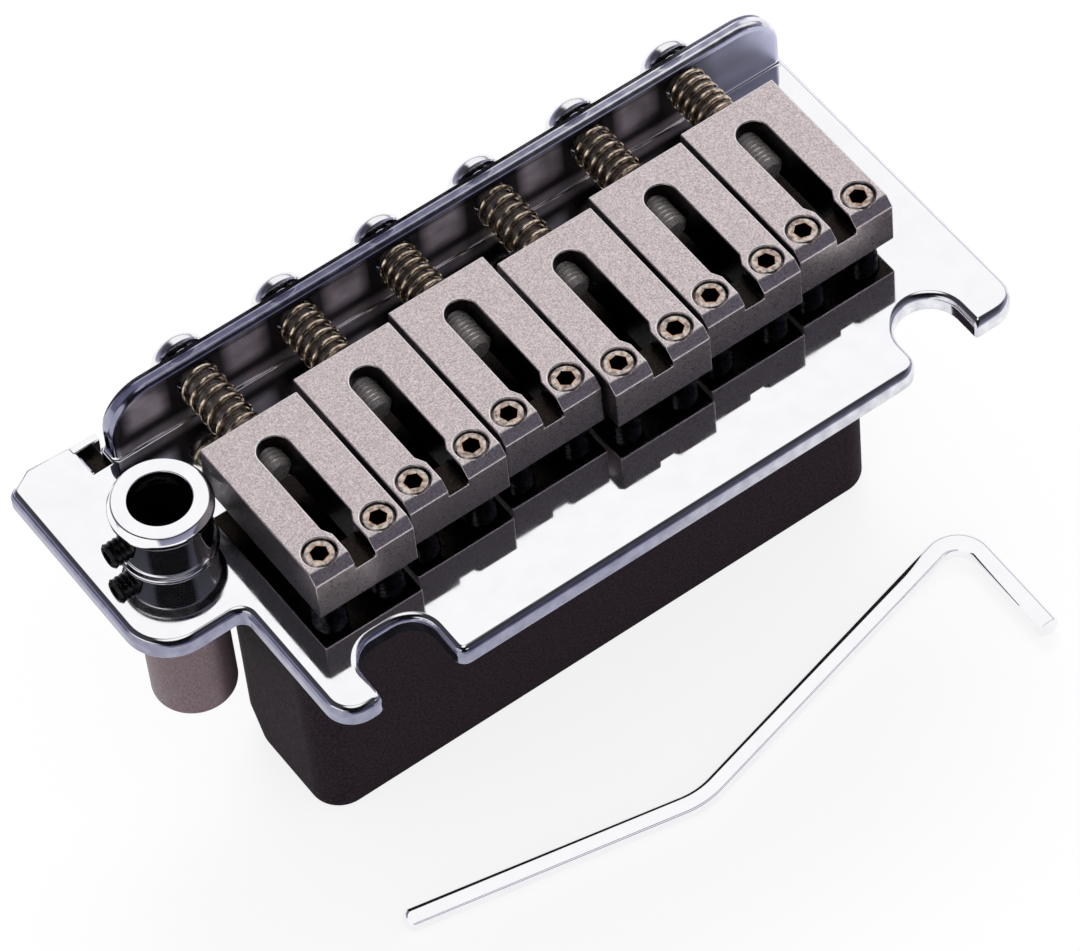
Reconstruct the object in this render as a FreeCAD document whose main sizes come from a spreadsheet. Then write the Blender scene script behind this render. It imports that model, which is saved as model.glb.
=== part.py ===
import FreeCAD, Part
import math
import os
import Sketcher

# Two-point guitar tremolo bridge with six block saddles and its arm lying apart in front.
# Millimetres. +Z is up, -Y faces the neck, +X is the bass side.
# The origin lies on the sustain block's bottom face, midway across the strings.

SIZES = {
    "string_pitch": 10.5,
    "string_count": 6,
    # base plate
    "plate_thickness": 2.0,
    "plate_overhang": 6.5,
    "socket_overhang": 1.1,
    "plate_front": 20.3,
    "plate_edge_bevel": 0.5,
    "ear_setback": 0.5,
    "ear_round": 2.8,
    "mouth_round": 1.1,
    "bass_mouth_round": 2.0,
    "notch_depth": 6.3,
    "treble_ear_width": 4.5,
    "bass_ear_width": 5.15,
    "treble_notch_width": 7.2,
    "treble_notch_round": 2.6,
    "bass_notch_width": 6.2,
    "tab_reach": 8.1,
    "tab_front": 4.8,
    "tab_rear": 18.4,
    "tab_round": 4.6,
    "tab_heel_round": 1.0,
    # rear flange
    "flange_ledge": 0.25,
    "flange_root": 1.0,
    "flange_face": 14.85,
    "flange_thickness": 2.0,
    "flange_height": 7.1,
    "flange_round": 4.4,
    "flange_edge_bevel": 0.4,
    "bend_round": 1.6,
    "relief_width": 1.6,
    # sustain block
    "block_end_wall": 4.4,
    "block_height": 34.0,
    "block_front": 5.75,
    "block_foot_rear": 7.5,
    "block_rear": 9.0,
    "block_rear_bevel": 3.0,
    "block_corner_round": 3.0,
    "string_line": 0.2,
    "string_hole_diameter": 3.4,
    "ball_bore_diameter": 6.4,
    "ball_bore_depth": 25.0,
    "hook_hole_diameter": 2.5,
    "hook_hole_depth": 8.0,
    "hook_hole_line": 3.3,
    # saddles
    "saddle_gap": 0.4,
    "saddle_top": 7.7,
    "saddle_underside": 2.3,
    "saddle_front": 1.4,
    "saddle_rear": 15.2,
    "saddle_chamfer": 0.9,
    "slot_width": 3.05,
    "slot_end": 12.7,
    "slot_jog": 1.0,
    "groove_width": 2.0,
    "groove_end": 0.9,
    "groove_depth": 1.6,
    # intonation screws and springs
    "screw_height": 4.7,
    "screw_diameter": 2.9,
    "screw_length": 15.2,
    "screw_head_diameter": 5.5,
    "screw_head_height": 2.0,
    "screw_head_rim": 0.6,
    "screw_head_crown": 2.4,
    "screw_head_gap": 0.2,
    "screw_hole_clearance": 0.3,
    "thread_clearance": 0.05,
    "spring_outer_diameter": 4.2,
    "spring_wire": 0.56,
    "spring_turns": 5,
    # height screws
    "height_screw_diameter": 3.0,
    "height_screw_inset": 2.04,
    "height_screw_foot_gap": 0.1,
    "height_screw_sink": 0.15,
    "height_screw_socket": 1.5,
    "height_screw_socket_depth": 1.6,
    "height_screw_clearance": 0.05,
    # arm socket
    "sleeve_gap": 1.75,
    "socket_y": 5.1,
    "collar_height": 6.2,
    "collar_bore": 5.7,
    "collar_lip": 1.6,
    "collar_top_diameter": 8.5,
    "collar_bead_diameter": 9.3,
    "collar_bead_rise": 0.6,
    "collar_shoulder": 0.6,
    "collar_waist_diameter": 8.2,
    "collar_foot_diameter": 9.6,
    "collar_foot_height": 0.7,
    "collar_foot_bevel": 0.3,
    "tension_screw_diameter": 2.4,
    "tension_screw_height": 2.6,
    "tension_screw_reach": 5.85,
    "tension_screw_socket": 1.2,
    "tension_screw_socket_depth": 1.2,
    "sleeve_diameter": 7.8,
    "sleeve_length": 19.0,
    "sleeve_neck_diameter": 6.9,
    "sleeve_bore": 5.9,
    "socket_clearance": 0.05,
    "bush_drop": 1.0,
    # arm
    "arm_diameter": 2.2,
    "arm_clearance": 0.05,
    "arm_handle": 27.1,
    "arm_shaft": 32.0,
    "arm_stub": 10.3,
    "arm_elbow_angle": 26.1,
    "arm_elbow_radius": 8.0,
    "arm_bend_angle": 105.5,
    "arm_bend_radius": 2.6,
    "arm_tip_x": 32.1,
    "arm_tip_y": 19.4,
    "arm_heading": 11.8,
    "arm_tip_bevel": 0.7,
    "arm_end_bevel": 0.3,
}

# Distance from the origin forward to each saddle's height screws, treble string first.
SETBACKS = {
    "setback_1": 8.96,
    "setback_2": 7.74,
    "setback_3": 6.96,
    "setback_4": 8.45,
    "setback_5": 7.49,
    "setback_6": 6.80,
}

SHEET_NAME = "Sizes"
# Lengths by which a cut passes the face it opens, and by which two joined cuts share a wall.
CUT_MARGIN = 1.0
CUT_OVERLAP = 0.01
HOOK_HOLE_COUNT = 5
FULL_TURN = 360
# Parts of a turn: wound past the two ground ends, spanned by one pair of arcs, and tried for the gap.
SPRING_OVERRUN = 0.5
ARC_TURN = 0.5
WIRE_SIDES = 4
GAP_TURN = 1 / 48
TOUCH = 1e-4


class Size:
    """A number kept together with the sheet expression that gives it."""

    def __init__(self, value, text):
        self.value = float(value)
        self.text = text

    def __add__(self, other):
        other = as_size(other)
        return Size(self.value + other.value, f"({self.text} + {other.text})")

    def __sub__(self, other):
        other = as_size(other)
        return Size(self.value - other.value, f"({self.text} - {other.text})")

    def __rsub__(self, other):
        return as_size(other) - self

    def __mul__(self, other):
        other = as_size(other)
        return Size(self.value * other.value, f"({self.text} * {other.text})")

    def __truediv__(self, other):
        other = as_size(other)
        return Size(self.value / other.value, f"({self.text} / {other.text})")

    def __neg__(self):
        return Size(-self.value, f"(-1 * {self.text})")


def as_size(value):
    """Give a plain number the form of a Size."""
    if isinstance(value, Size):
        return value
    return Size(value, f"{value:g}")


doc = FreeCAD.newDocument("TremoloBridge")
sheet = doc.addObject("Spreadsheet::Sheet", SHEET_NAME)
pieces = []


def fill_sheet():
    """Write every driving size to the sheet, one named cell to a row."""
    for row, (name, value) in enumerate({**SIZES, **SETBACKS}.items(), start=1):
        sheet.set(f"A{row}", name)
        sheet.set(f"B{row}", f"{value:g}")
        sheet.setAlias(f"B{row}", name)
    doc.recompute()


def size(name):
    """The named cell of the sheet, as a Size."""
    return Size(sheet.get(name), f"{SHEET_NAME}.{name}")


def new_body(label):
    """A new body that is one piece of the assembly."""
    body = doc.addObject("PartDesign::Body", label)
    body.Label = label
    pieces.append(body)
    return body


def place(piece, x=None, y=None, z=None):
    """Tie a piece's place to the sheet."""
    for axis, value in (("x", x), ("y", y), ("z", z)):
        if value is not None:
            piece.setExpression(f"Placement.Base.{axis}", value.text)


def new_sketch(body, name, role, lift=None):
    """A sketch on one of the body's own origin planes, lifted along the plane's normal."""
    sketch = body.newObject("Sketcher::SketchObject", name)
    plane = next(item for item in body.Origin.OriginFeatures if item.Role == role)
    sketch.AttachmentSupport = [(plane, "")]
    sketch.MapMode = "FlatFace"
    if lift is not None:
        sketch.AttachmentOffset.Base.z = lift.value
        sketch.setExpression("AttachmentOffset.Base.z", lift.text)
    return sketch


def bind(sketch, kind, *where):
    """Add a dimension whose last argument is a Size, and tie it to the sheet."""
    *where, value = where
    index = sketch.addConstraint(Sketcher.Constraint(kind, *where, value.value))
    sketch.setExpression(f"Constraints[{index}]", value.text)


def bind_point(sketch, geometry, spot, x, y):
    """Hold one point of a sketch at x, y."""
    bind(sketch, "DistanceX", -1, 1, geometry, spot, as_size(x))
    bind(sketch, "DistanceY", -1, 1, geometry, spot, as_size(y))


def outline(sketch, corners):
    """A closed outline of straight sides through the corners."""
    corners = [(as_size(x), as_size(y)) for x, y in corners]
    spots = [FreeCAD.Vector(x.value, y.value, 0) for x, y in corners]
    sides = [
        sketch.addGeometry(Part.LineSegment(a, b), False)
        for a, b in zip(spots, spots[1:] + spots[:1])
    ]
    for side, following in zip(sides, sides[1:] + sides[:1]):
        sketch.addConstraint(Sketcher.Constraint("Coincident", side, 2, following, 1))
    for side, (x, y) in zip(sides, corners):
        bind_point(sketch, side, 1, x, y)


def circle(sketch, x, y, diameter):
    """A circle at x, y."""
    x, y = as_size(x), as_size(y)
    centre = FreeCAD.Vector(x.value, y.value, 0)
    ring = Part.Circle(centre, FreeCAD.Vector(0, 0, 1), diameter.value / 2)
    index = sketch.addGeometry(ring, False)
    bind_point(sketch, index, 3, x, y)
    bind(sketch, "Diameter", index, diameter)


def hexagon(sketch, x, y, across):
    """A six-sided socket, given across its flats."""
    x, y = as_size(x), as_size(y)
    apothem = across / 2
    corner = across / math.sqrt(3)
    half = corner / 2
    outline(
        sketch,
        [
            (x + corner, y),
            (x + half, y + apothem),
            (x - half, y + apothem),
            (x - corner, y),
            (x - half, y - apothem),
            (x + half, y - apothem),
        ],
    )


def pad(body, sketch, name, length, backward=False):
    """Raise a solid from a sketch."""
    feature = body.newObject("PartDesign::Pad", name)
    feature.Profile = sketch
    feature.Length = length.value
    feature.setExpression("Length", length.text)
    feature.Reversed = backward
    doc.recompute()
    return feature


def pocket(body, sketch, name, depth, backward=False):
    """Cut a sketch into the body, and make sure that it took something away."""
    before = body.Shape.Volume
    feature = body.newObject("PartDesign::Pocket", name)
    feature.Profile = sketch
    feature.Length = depth.value
    feature.setExpression("Length", depth.text)
    feature.Reversed = backward
    doc.recompute()
    if not body.Shape.Volume < before - TOUCH:
        raise RuntimeError(f"{name} cuts nothing")
    return feature


def turn(body, name, role, axis, corners):
    """A solid turned about one of the body's own axes."""
    sketch = new_sketch(body, f"{name}_profile", role)
    outline(sketch, corners)
    feature = body.newObject("PartDesign::Revolution", name)
    feature.Profile = sketch
    line = next(item for item in body.Origin.OriginFeatures if item.Role == axis)
    feature.ReferenceAxis = (line, [""])
    feature.Angle = FULL_TURN
    doc.recompute()
    return feature


def edge_names(body, wanted):
    """Names of the body's edges that the test accepts."""
    return [
        f"Edge{number}"
        for number, edge in enumerate(body.Shape.Edges, start=1)
        if wanted(edge)
    ]


def soften(body, name, radius, wanted, kind="Fillet"):
    """Round or bevel the edges that the test accepts."""
    names = edge_names(body, wanted)
    if not names:
        raise RuntimeError(f"{name} finds no edge")
    base = body.Tip
    feature = body.newObject(f"PartDesign::{kind}", name)
    feature.Base = (base, names)
    prop = "Radius" if kind == "Fillet" else "Size"
    setattr(feature, prop, radius.value)
    feature.setExpression(prop, radius.text)
    doc.recompute()
    if not feature.isValid():
        raise RuntimeError(f"{name} fails on {names}")
    return feature


def near(a, b):
    """True where two numbers agree to within a touch."""
    return abs(a - b) < TOUCH


def upright_at(spots):
    """A test for straight edges along Z at one of the x, y spots."""
    spots = [(as_size(x).value, as_size(y).value) for x, y in spots]

    def wanted(edge):
        box = edge.BoundBox
        thin = box.XLength < TOUCH and box.YLength < TOUCH
        return thin and any(near(box.XMin, x) and near(box.YMin, y) for x, y in spots)

    return wanted


def string_x(number):
    """Place of a string across the bridge, counted from the treble side."""
    return size("string_pitch") * (number - (SIZES["string_count"] + 1) / 2)


def plate_top():
    """Height of the plate's upper face."""
    return size("block_height") + size("plate_thickness")


def block_end():
    """Distance from the origin to either end of the block."""
    return string_x(SIZES["string_count"]) + size("block_end_wall")


def socket_x():
    """Place of the arm socket, which clears the block's treble end."""
    return -(block_end() + size("sleeve_gap") + size("sleeve_diameter") / 2)


def plate_left():
    """The plate's treble edge, which passes close to the arm socket's axis."""
    return socket_x() + size("socket_overhang")


def plate_right():
    """The plate's bass edge."""
    return block_end() + size("plate_overhang")


def saddle_width():
    """Width of a saddle, which leaves a gap to its neighbours."""
    return size("string_pitch") - size("saddle_gap")


def height_screw_x(sense):
    """Place of a height screw across its saddle: -1 is the treble side, 1 the bass side."""
    return (saddle_width() / 2 - size("height_screw_inset")) * sense


def make_base_plate():
    """Bent plate: pivot notches and ears in front, arm tab on the treble side, flange behind."""
    body = new_body("base_plate")
    front, ear_front = -size("plate_front"), size("ear_setback") - size("plate_front")
    notch_end = size("notch_depth") - size("plate_front")
    half_treble, half_bass = size("treble_notch_width") / 2, size("bass_notch_width") / 2
    left, right = plate_left(), plate_right()
    treble = left + size("treble_ear_width") + half_treble
    bass = right - size("bass_ear_width") - half_bass
    face = size("flange_face")
    ledge = size("flange_ledge")
    rear = face + size("flange_thickness") + ledge
    flange_end = left - ledge
    relief = flange_end - size("relief_width")
    tab_left = socket_x() - size("tab_reach")
    tab_front, tab_rear = -size("tab_front"), size("tab_rear")

    flat = new_sketch(body, "plate_outline", "XY_Plane", size("block_height"))
    outline(
        flat,
        [
            (left, ear_front),
            (treble - half_treble, ear_front),
            (treble - half_treble, notch_end),
            (treble + half_treble, notch_end),
            (treble + half_treble, front),
            (bass, front),
            (bass, ear_front),
            (right, ear_front),
            (right, rear),
            (flange_end, rear),
            (flange_end, face + ledge),
            (relief, face + ledge),
            (relief, tab_rear),
            (tab_left, tab_rear),
            (tab_left, tab_front),
            (left, tab_front),
        ],
    )
    pad(body, flat, "plate", size("plate_thickness"))

    depth = size("plate_thickness") + CUT_MARGIN * 2
    above = plate_top() + CUT_MARGIN
    arc_y = notch_end - half_bass
    mouth = new_sketch(body, "bass_notch_mouth", "XY_Plane", above)
    outside = front - CUT_MARGIN
    outline(
        mouth,
        [
            (bass - half_bass, outside),
            (bass + half_bass, outside),
            (bass + half_bass, arc_y),
            (bass - half_bass, arc_y),
        ],
    )
    pocket(body, mouth, "bass_notch_sides", depth)
    seat = new_sketch(body, "bass_notch_seat", "XY_Plane", above)
    circle(seat, bass, arc_y, size("bass_notch_width"))
    pocket(body, seat, "bass_notch_round", depth)

    soften(body, "ear_corners", size("ear_round"), upright_at([(left, ear_front), (right, ear_front)]))
    soften(
        body,
        "notch_mouths",
        size("mouth_round"),
        upright_at([(treble - half_treble, ear_front), (treble + half_treble, front)]),
    )
    soften(body, "bass_mouth", size("bass_mouth_round"), upright_at([(bass - half_bass, front)]))
    soften(
        body,
        "treble_notch_corners",
        size("treble_notch_round"),
        upright_at([(treble - half_treble, notch_end), (treble + half_treble, notch_end)]),
    )
    soften(body, "tab_corner", size("tab_round"), upright_at([(tab_left, tab_front)]))
    soften(
        body,
        "tab_heels",
        size("tab_heel_round"),
        upright_at([(left, tab_front), (tab_left, tab_rear)]),
    )

    def plate_rim(edge):
        box = edge.BoundBox
        flat = box.ZLength < TOUCH and near(box.ZMin, plate_top().value)
        return flat and (box.YMin < face.value - TOUCH or box.XMax < relief.value + TOUCH)

    def bend(edge):
        box = edge.BoundBox
        along = box.YLength < TOUCH and box.ZLength < TOUCH and near(box.YMin, rear.value)
        return along and near(box.ZMin, size("block_height").value)

    soften(body, "plate_rim", size("plate_edge_bevel"), plate_rim, kind="Chamfer")
    soften(body, "bend", size("bend_round"), bend)

    return body


def make_flange():
    """Upright rear flange: rounded top corners and broken edges, rooted in the plate."""
    flange = doc.addObject("PartDesign::Body", "flange")
    face, rear = size("flange_face"), size("flange_face") + size("flange_thickness")
    left, right = plate_left(), plate_right() - size("flange_ledge")
    base, top = plate_top() - size("flange_root"), plate_top() + size("flange_height")
    wall = new_sketch(flange, "flange_outline", "XZ_Plane", -face)
    outline(wall, [(left, base), (right, base), (right, top), (left, top)])
    pad(flange, wall, "flange_wall", size("flange_thickness"), backward=True)

    def corner(edge):
        box = edge.BoundBox
        return box.XLength < TOUCH and box.ZLength < TOUCH and near(box.ZMin, top.value)

    def rim(edge):
        box = edge.BoundBox
        flat = box.YLength < TOUCH and (near(box.YMin, face.value) or near(box.YMin, rear.value))
        return flat and box.ZMax > plate_top().value

    soften(flange, "flange_corners", size("flange_round"), corner)
    soften(flange, "flange_rim", size("flange_edge_bevel"), rim, kind="Chamfer")
    return flange


def join_flange(body, flange):
    """Make the plate and its flange one solid."""
    joined = body.newObject("PartDesign::Boolean", "bent_plate")
    joined.setObjects([flange])
    joined.Type = "Fuse"
    doc.recompute()


def drill_base_plate(body):
    """Holes for the strings, the arm socket and the intonation screws."""
    above = plate_top() + CUT_MARGIN
    depth = size("plate_thickness") + CUT_MARGIN * 2
    holes = new_sketch(body, "string_holes", "XY_Plane", above)
    for number in range(1, SIZES["string_count"] + 1):
        circle(holes, string_x(number), size("string_line"), size("string_hole_diameter"))
    pocket(body, holes, "string_openings", depth)

    socket = new_sketch(body, "socket_hole", "XY_Plane", above)
    bore = size("sleeve_neck_diameter") + size("socket_clearance") * 2
    circle(socket, socket_x(), size("socket_y"), bore)
    pocket(body, socket, "socket_opening", depth)

    flange = new_sketch(body, "intonation_holes", "XZ_Plane", CUT_MARGIN - size("flange_face"))
    passing = size("screw_diameter") + size("screw_hole_clearance") * 2
    for number in range(1, SIZES["string_count"] + 1):
        circle(flange, string_x(number), plate_top() + size("screw_height"), passing)
    reach = size("flange_thickness") + CUT_MARGIN * 2
    pocket(body, flange, "intonation_openings", reach)


def make_sustain_block():
    """Block under the plate: bevelled behind at the foot, bored for the strings and the springs' hooks."""
    body = new_body("sustain_block")
    front, foot_rear, rear = -size("block_front"), size("block_foot_rear"), size("block_rear")
    height, length = size("block_height"), block_end() * 2
    side = new_sketch(body, "block_side", "YZ_Plane", -(length / 2))
    bevel = size("block_rear_bevel")
    outline(side, [(front, 0), (foot_rear, 0), (rear, bevel), (rear, height), (front, height)])
    pad(body, side, "block", length)

    def corner(edge):
        box = edge.BoundBox
        at_end = near(abs(box.XMin), length.value / 2) and box.XLength < TOUCH
        return at_end and box.ZLength > TOUCH

    soften(body, "block_corners", size("block_corner_round"), corner)

    below = as_size(-CUT_MARGIN)
    bores = new_sketch(body, "ball_bores", "XY_Plane", below)
    holes = new_sketch(body, "block_string_holes", "XY_Plane", below)
    for number in range(1, SIZES["string_count"] + 1):
        circle(bores, string_x(number), size("string_line"), size("ball_bore_diameter"))
        circle(holes, string_x(number), size("string_line"), size("string_hole_diameter"))
    pocket(body, bores, "ball_seats", size("ball_bore_depth") + CUT_MARGIN, backward=True)
    pocket(body, holes, "string_bores", height + CUT_MARGIN * 2, backward=True)

    hooks = new_sketch(body, "hook_holes", "XY_Plane", below)
    middle = (HOOK_HOLE_COUNT - 1) / 2
    for number in range(HOOK_HOLE_COUNT):
        x = size("string_pitch") * (number - middle)
        circle(hooks, x, -size("hook_hole_line"), size("hook_hole_diameter"))
    pocket(body, hooks, "hook_bores", size("hook_hole_depth") + CUT_MARGIN, backward=True)


def make_saddle(number):
    """Block saddle: through slot that narrows to a string groove, two upright threads, one from behind."""
    body = new_body(f"saddle_{number}")
    half = saddle_width() / 2
    top, under = size("saddle_top"), size("saddle_underside")
    front, rear, chamfer = -size("saddle_front"), size("saddle_rear"), size("saddle_chamfer")
    side = new_sketch(body, f"saddle_side_{number}", "YZ_Plane", -half)
    outline(
        side,
        [
            (front - chamfer, under),
            (rear, under),
            (rear, top),
            (front, top),
            (front - chamfer, top - chamfer),
        ],
    )
    pad(body, side, f"saddle_block_{number}", saddle_width())

    above = top + CUT_MARGIN
    through = top - under + CUT_MARGIN * 2
    half_slot, half_groove = size("slot_width") / 2, size("groove_width") / 2
    groove_end = size("groove_end")
    jog_end, arc_y = groove_end + size("slot_jog"), size("slot_end") - half_slot
    slot = new_sketch(body, f"slot_{number}", "XY_Plane", above)
    outline(
        slot,
        [
            (-half_groove, groove_end),
            (half_groove, groove_end),
            (half_slot, jog_end),
            (half_slot, arc_y),
            (-half_slot, arc_y),
            (-half_slot, jog_end),
        ],
    )
    pocket(body, slot, f"slot_cut_{number}", through)
    end = new_sketch(body, f"slot_end_{number}", "XY_Plane", above)
    circle(end, as_size(0), arc_y, size("slot_width"))
    pocket(body, end, f"slot_end_cut_{number}", through)
    groove = new_sketch(body, f"groove_{number}", "XY_Plane", above)
    outside = front - chamfer - CUT_MARGIN
    outline(
        groove,
        [
            (-half_groove, outside),
            (half_groove, outside),
            (half_groove, groove_end + CUT_OVERLAP),
            (-half_groove, groove_end + CUT_OVERLAP),
        ],
    )
    pocket(body, groove, f"groove_cut_{number}", size("groove_depth") + CUT_MARGIN)

    threads = new_sketch(body, f"height_threads_{number}", "XY_Plane", above)
    for sense in (-1, 1):
        x = height_screw_x(sense)
        bore = size("height_screw_diameter") + size("height_screw_clearance") * 2
        circle(threads, x, as_size(0), bore)
    pocket(body, threads, f"height_bores_{number}", through)

    back = new_sketch(body, f"intonation_thread_{number}", "XZ_Plane", -(rear + CUT_MARGIN))
    tapped = size("screw_diameter") + size("thread_clearance") * 2
    circle(back, as_size(0), size("screw_height"), tapped)
    pocket(body, back, f"intonation_bore_{number}", rear + CUT_MARGIN - arc_y, backward=True)
    place(body, string_x(number), -size(f"setback_{number}"), plate_top())


def make_height_screw(number, letter, sense):
    """Socket set screw that stands on the plate."""
    body = new_body(f"height_screw_{number}{letter}")
    low, high = size("height_screw_foot_gap"), size("saddle_top") - size("height_screw_sink")
    ring = new_sketch(body, f"set_screw_ring_{number}{letter}", "XY_Plane", low)
    circle(ring, 0, 0, size("height_screw_diameter"))
    pad(body, ring, f"set_screw_{number}{letter}", high - low)
    key = new_sketch(body, f"set_screw_socket_{number}{letter}", "XY_Plane", high + CUT_MARGIN)
    hexagon(key, as_size(0), as_size(0), size("height_screw_socket"))
    depth = size("height_screw_socket_depth") + CUT_MARGIN
    pocket(body, key, f"set_screw_key_{number}{letter}", depth)
    x = string_x(number) + height_screw_x(sense)
    place(body, x, -size(f"setback_{number}"), plate_top())


def make_intonation_screw(number):
    """Raised-head screw from behind the flange into the saddle."""
    body = new_body(f"intonation_screw_{number}")
    radius, head = size("screw_diameter") / 2, size("screw_head_diameter") / 2
    gap, height, rim = size("screw_head_gap"), size("screw_head_height"), size("screw_head_rim")
    turn(
        body,
        f"screw_{number}",
        "XY_Plane",
        "Y_Axis",
        [
            (0, gap - size("screw_length")),
            (radius, gap - size("screw_length")),
            (radius, gap),
            (head, gap),
            (head, gap + rim),
            (size("screw_head_crown") / 2, gap + height),
            (0, gap + height),
        ],
    )
    rear = size("flange_face") + size("flange_thickness")
    place(body, string_x(number), rear, plate_top() + size("screw_height"))


def helix_point(radius, lead, turns):
    """A point of a helix about Y that starts on +X."""
    angle = 2 * math.pi * turns
    return FreeCAD.Vector(radius * math.cos(angle), lead * turns, radius * math.sin(angle))


def biarc(first, first_way, last, last_way):
    """Two arcs that leave first along first_way and reach last along last_way."""
    chord = last - first
    ways = first_way + last_way
    square = 2 * (1 - first_way.dot(last_way))
    along = chord.dot(ways)
    reach = (math.sqrt(along * along + square * chord.dot(chord)) - along) / square
    joint = (first + last + (first_way - last_way) * reach) * 0.5
    bends = []
    for start, way, stop in ((first, first_way, joint), (last, last_way * -1, joint)):
        across = stop - start
        turn_way = (across - way * across.dot(way)).normalize()
        bend = across.dot(across) / (2 * across.dot(turn_way))
        middle = start + turn_way * bend
        half_way = (start + stop) * 0.5 - middle
        bends.append((start, middle + half_way.normalize() * bend, stop))
    (a, b, c), (d, e, f) = bends
    return [Part.Arc(a, b, c).toShape(), Part.Arc(f, e, d).toShape()]


def helix_way(radius, lead, turns):
    """Direction of the helix at a point of it."""
    angle = 2 * math.pi * turns
    rate = 2 * math.pi * radius
    return FreeCAD.Vector(-rate * math.sin(angle), lead, rate * math.cos(angle)).normalize()


def self_gap(radius, lead, wire, turns):
    """Least clear distance between points of the wire that lie a half turn or more apart."""
    first = helix_point(radius, lead, 0)
    half_turn = 0.5
    tries = int((turns - half_turn) / GAP_TURN)
    spots = [helix_point(radius, lead, half_turn + step * GAP_TURN) for step in range(tries)]
    return min((first - spot).Length for spot in spots) - wire


def make_intonation_spring(number):
    """Compression spring with ground ends, one unbroken tube from the saddle to the flange."""
    wire = size("spring_wire").value
    radius = (size("spring_outer_diameter").value - wire) / 2
    seat = size("saddle_rear").value - size(f"setback_{number}").value
    length = size("flange_face").value - seat
    turns = size("spring_turns").value
    lead = length / turns
    count = round((turns + SPRING_OVERRUN) / ARC_TURN)
    arcs = []
    for step in range(count):
        start, stop = step * ARC_TURN, (step + 1) * ARC_TURN
        arcs += biarc(
            helix_point(radius, lead, start),
            helix_way(radius, lead, start),
            helix_point(radius, lead, stop),
            helix_way(radius, lead, stop),
        )
    path = Part.Wire(arcs)
    ring = Part.Circle(helix_point(radius, lead, 0), helix_way(radius, lead, 0), wire / 2)
    corners = [ring.value(2 * math.pi * side / WIRE_SIDES) for side in range(WIRE_SIDES)]
    section = Part.makePolygon(corners + corners[:1])
    tube = Part.BRepOffsetAPI.MakePipeShell(path)
    tube.add(section)
    tube.build()
    tube.makeSolid()
    coil = tube.shape()
    coil.translate(FreeCAD.Vector(0, -lead * SPRING_OVERRUN / 2, 0))
    span = size("spring_outer_diameter").value + CUT_MARGIN * 2
    slab = Part.makeBox(span, length, span, FreeCAD.Vector(-span / 2, 0, -span / 2))
    spring = doc.addObject("Part::Feature", f"intonation_spring_{number}")
    spring.Label = f"intonation_spring_{number}"
    spring.Shape = coil.common(slab).Solids[0]
    place_at = FreeCAD.Vector(
        string_x(number).value, seat, (plate_top() + size("screw_height")).value
    )
    spring.Placement = FreeCAD.Placement(place_at, FreeCAD.Rotation())
    pieces.append(spring)
    gap = self_gap(radius, lead, wire, turns)
    print(f"intonation_spring_{number}: {turns:g} turns, least gap to itself {gap:.2f} mm")


def collar_neck():
    """Radius of the collar's fit on the sleeve's neck."""
    return size("sleeve_neck_diameter") / 2 + size("socket_clearance")


def make_arm_collar():
    """Turned collar on the arm socket: foot, waist, bead, the arm's mouth and a thread in its side."""
    body = new_body("arm_collar")
    bore = size("collar_bore") / 2
    neck = collar_neck()
    high, lip = size("collar_height"), size("collar_lip")
    foot, foot_high = size("collar_foot_diameter") / 2, size("collar_foot_height")
    waist, bead = size("collar_waist_diameter") / 2, size("collar_bead_diameter") / 2
    crest = size("collar_top_diameter") / 2
    rise, shoulder = size("collar_bead_rise"), size("collar_shoulder")
    bevel = size("collar_foot_bevel")
    turn(
        body,
        "collar",
        "XZ_Plane",
        "Z_Axis",
        [
            (neck, as_size(0)),
            (foot, as_size(0)),
            (foot, foot_high - bevel),
            (foot - bevel, foot_high),
            (waist, foot_high),
            (waist, high - rise - shoulder * 2),
            (bead, high - rise - shoulder),
            (bead, high - shoulder),
            (crest, high),
            (bore, high),
            (bore, high - lip),
            (neck, high - lip),
        ],
    )
    thread = new_sketch(body, "tension_thread", "YZ_Plane")
    bore = size("tension_screw_diameter") + size("socket_clearance") * 2
    circle(thread, as_size(0), size("tension_screw_height"), bore)
    pocket(body, thread, "tension_bore", foot + CUT_MARGIN)
    place(body, socket_x(), size("socket_y"), plate_top())


def make_tension_screw():
    """Socket set screw in the collar's outer side, up to the sleeve's neck."""
    body = new_body("tension_screw")
    outer, inner = -size("tension_screw_reach"), -collar_neck()
    ring = new_sketch(body, "tension_ring", "YZ_Plane", outer)
    circle(ring, 0, 0, size("tension_screw_diameter"))
    pad(body, ring, "tension_rod", inner - outer)
    key = new_sketch(body, "tension_socket", "YZ_Plane", outer - CUT_MARGIN)
    hexagon(key, as_size(0), as_size(0), size("tension_screw_socket"))
    depth = size("tension_screw_socket_depth") + CUT_MARGIN
    pocket(body, key, "tension_key", depth, backward=True)
    place(body, socket_x(), size("socket_y"), plate_top() + size("tension_screw_height"))


def make_socket_sleeve():
    """Barrel below the plate with a neck that goes up through it into the collar."""
    body = new_body("socket_sleeve")
    bore, barrel = size("sleeve_bore") / 2, size("sleeve_diameter") / 2
    neck = size("sleeve_neck_diameter") / 2
    under = -size("plate_thickness")
    low = under - size("sleeve_length")
    high = size("collar_height") - size("collar_lip") - size("socket_clearance")
    turn(
        body,
        "sleeve",
        "XZ_Plane",
        "Z_Axis",
        [
            (bore, low),
            (barrel, low),
            (barrel, under),
            (neck, under),
            (neck, high),
            (bore, high),
        ],
    )
    place(body, socket_x(), size("socket_y"), plate_top())


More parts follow.
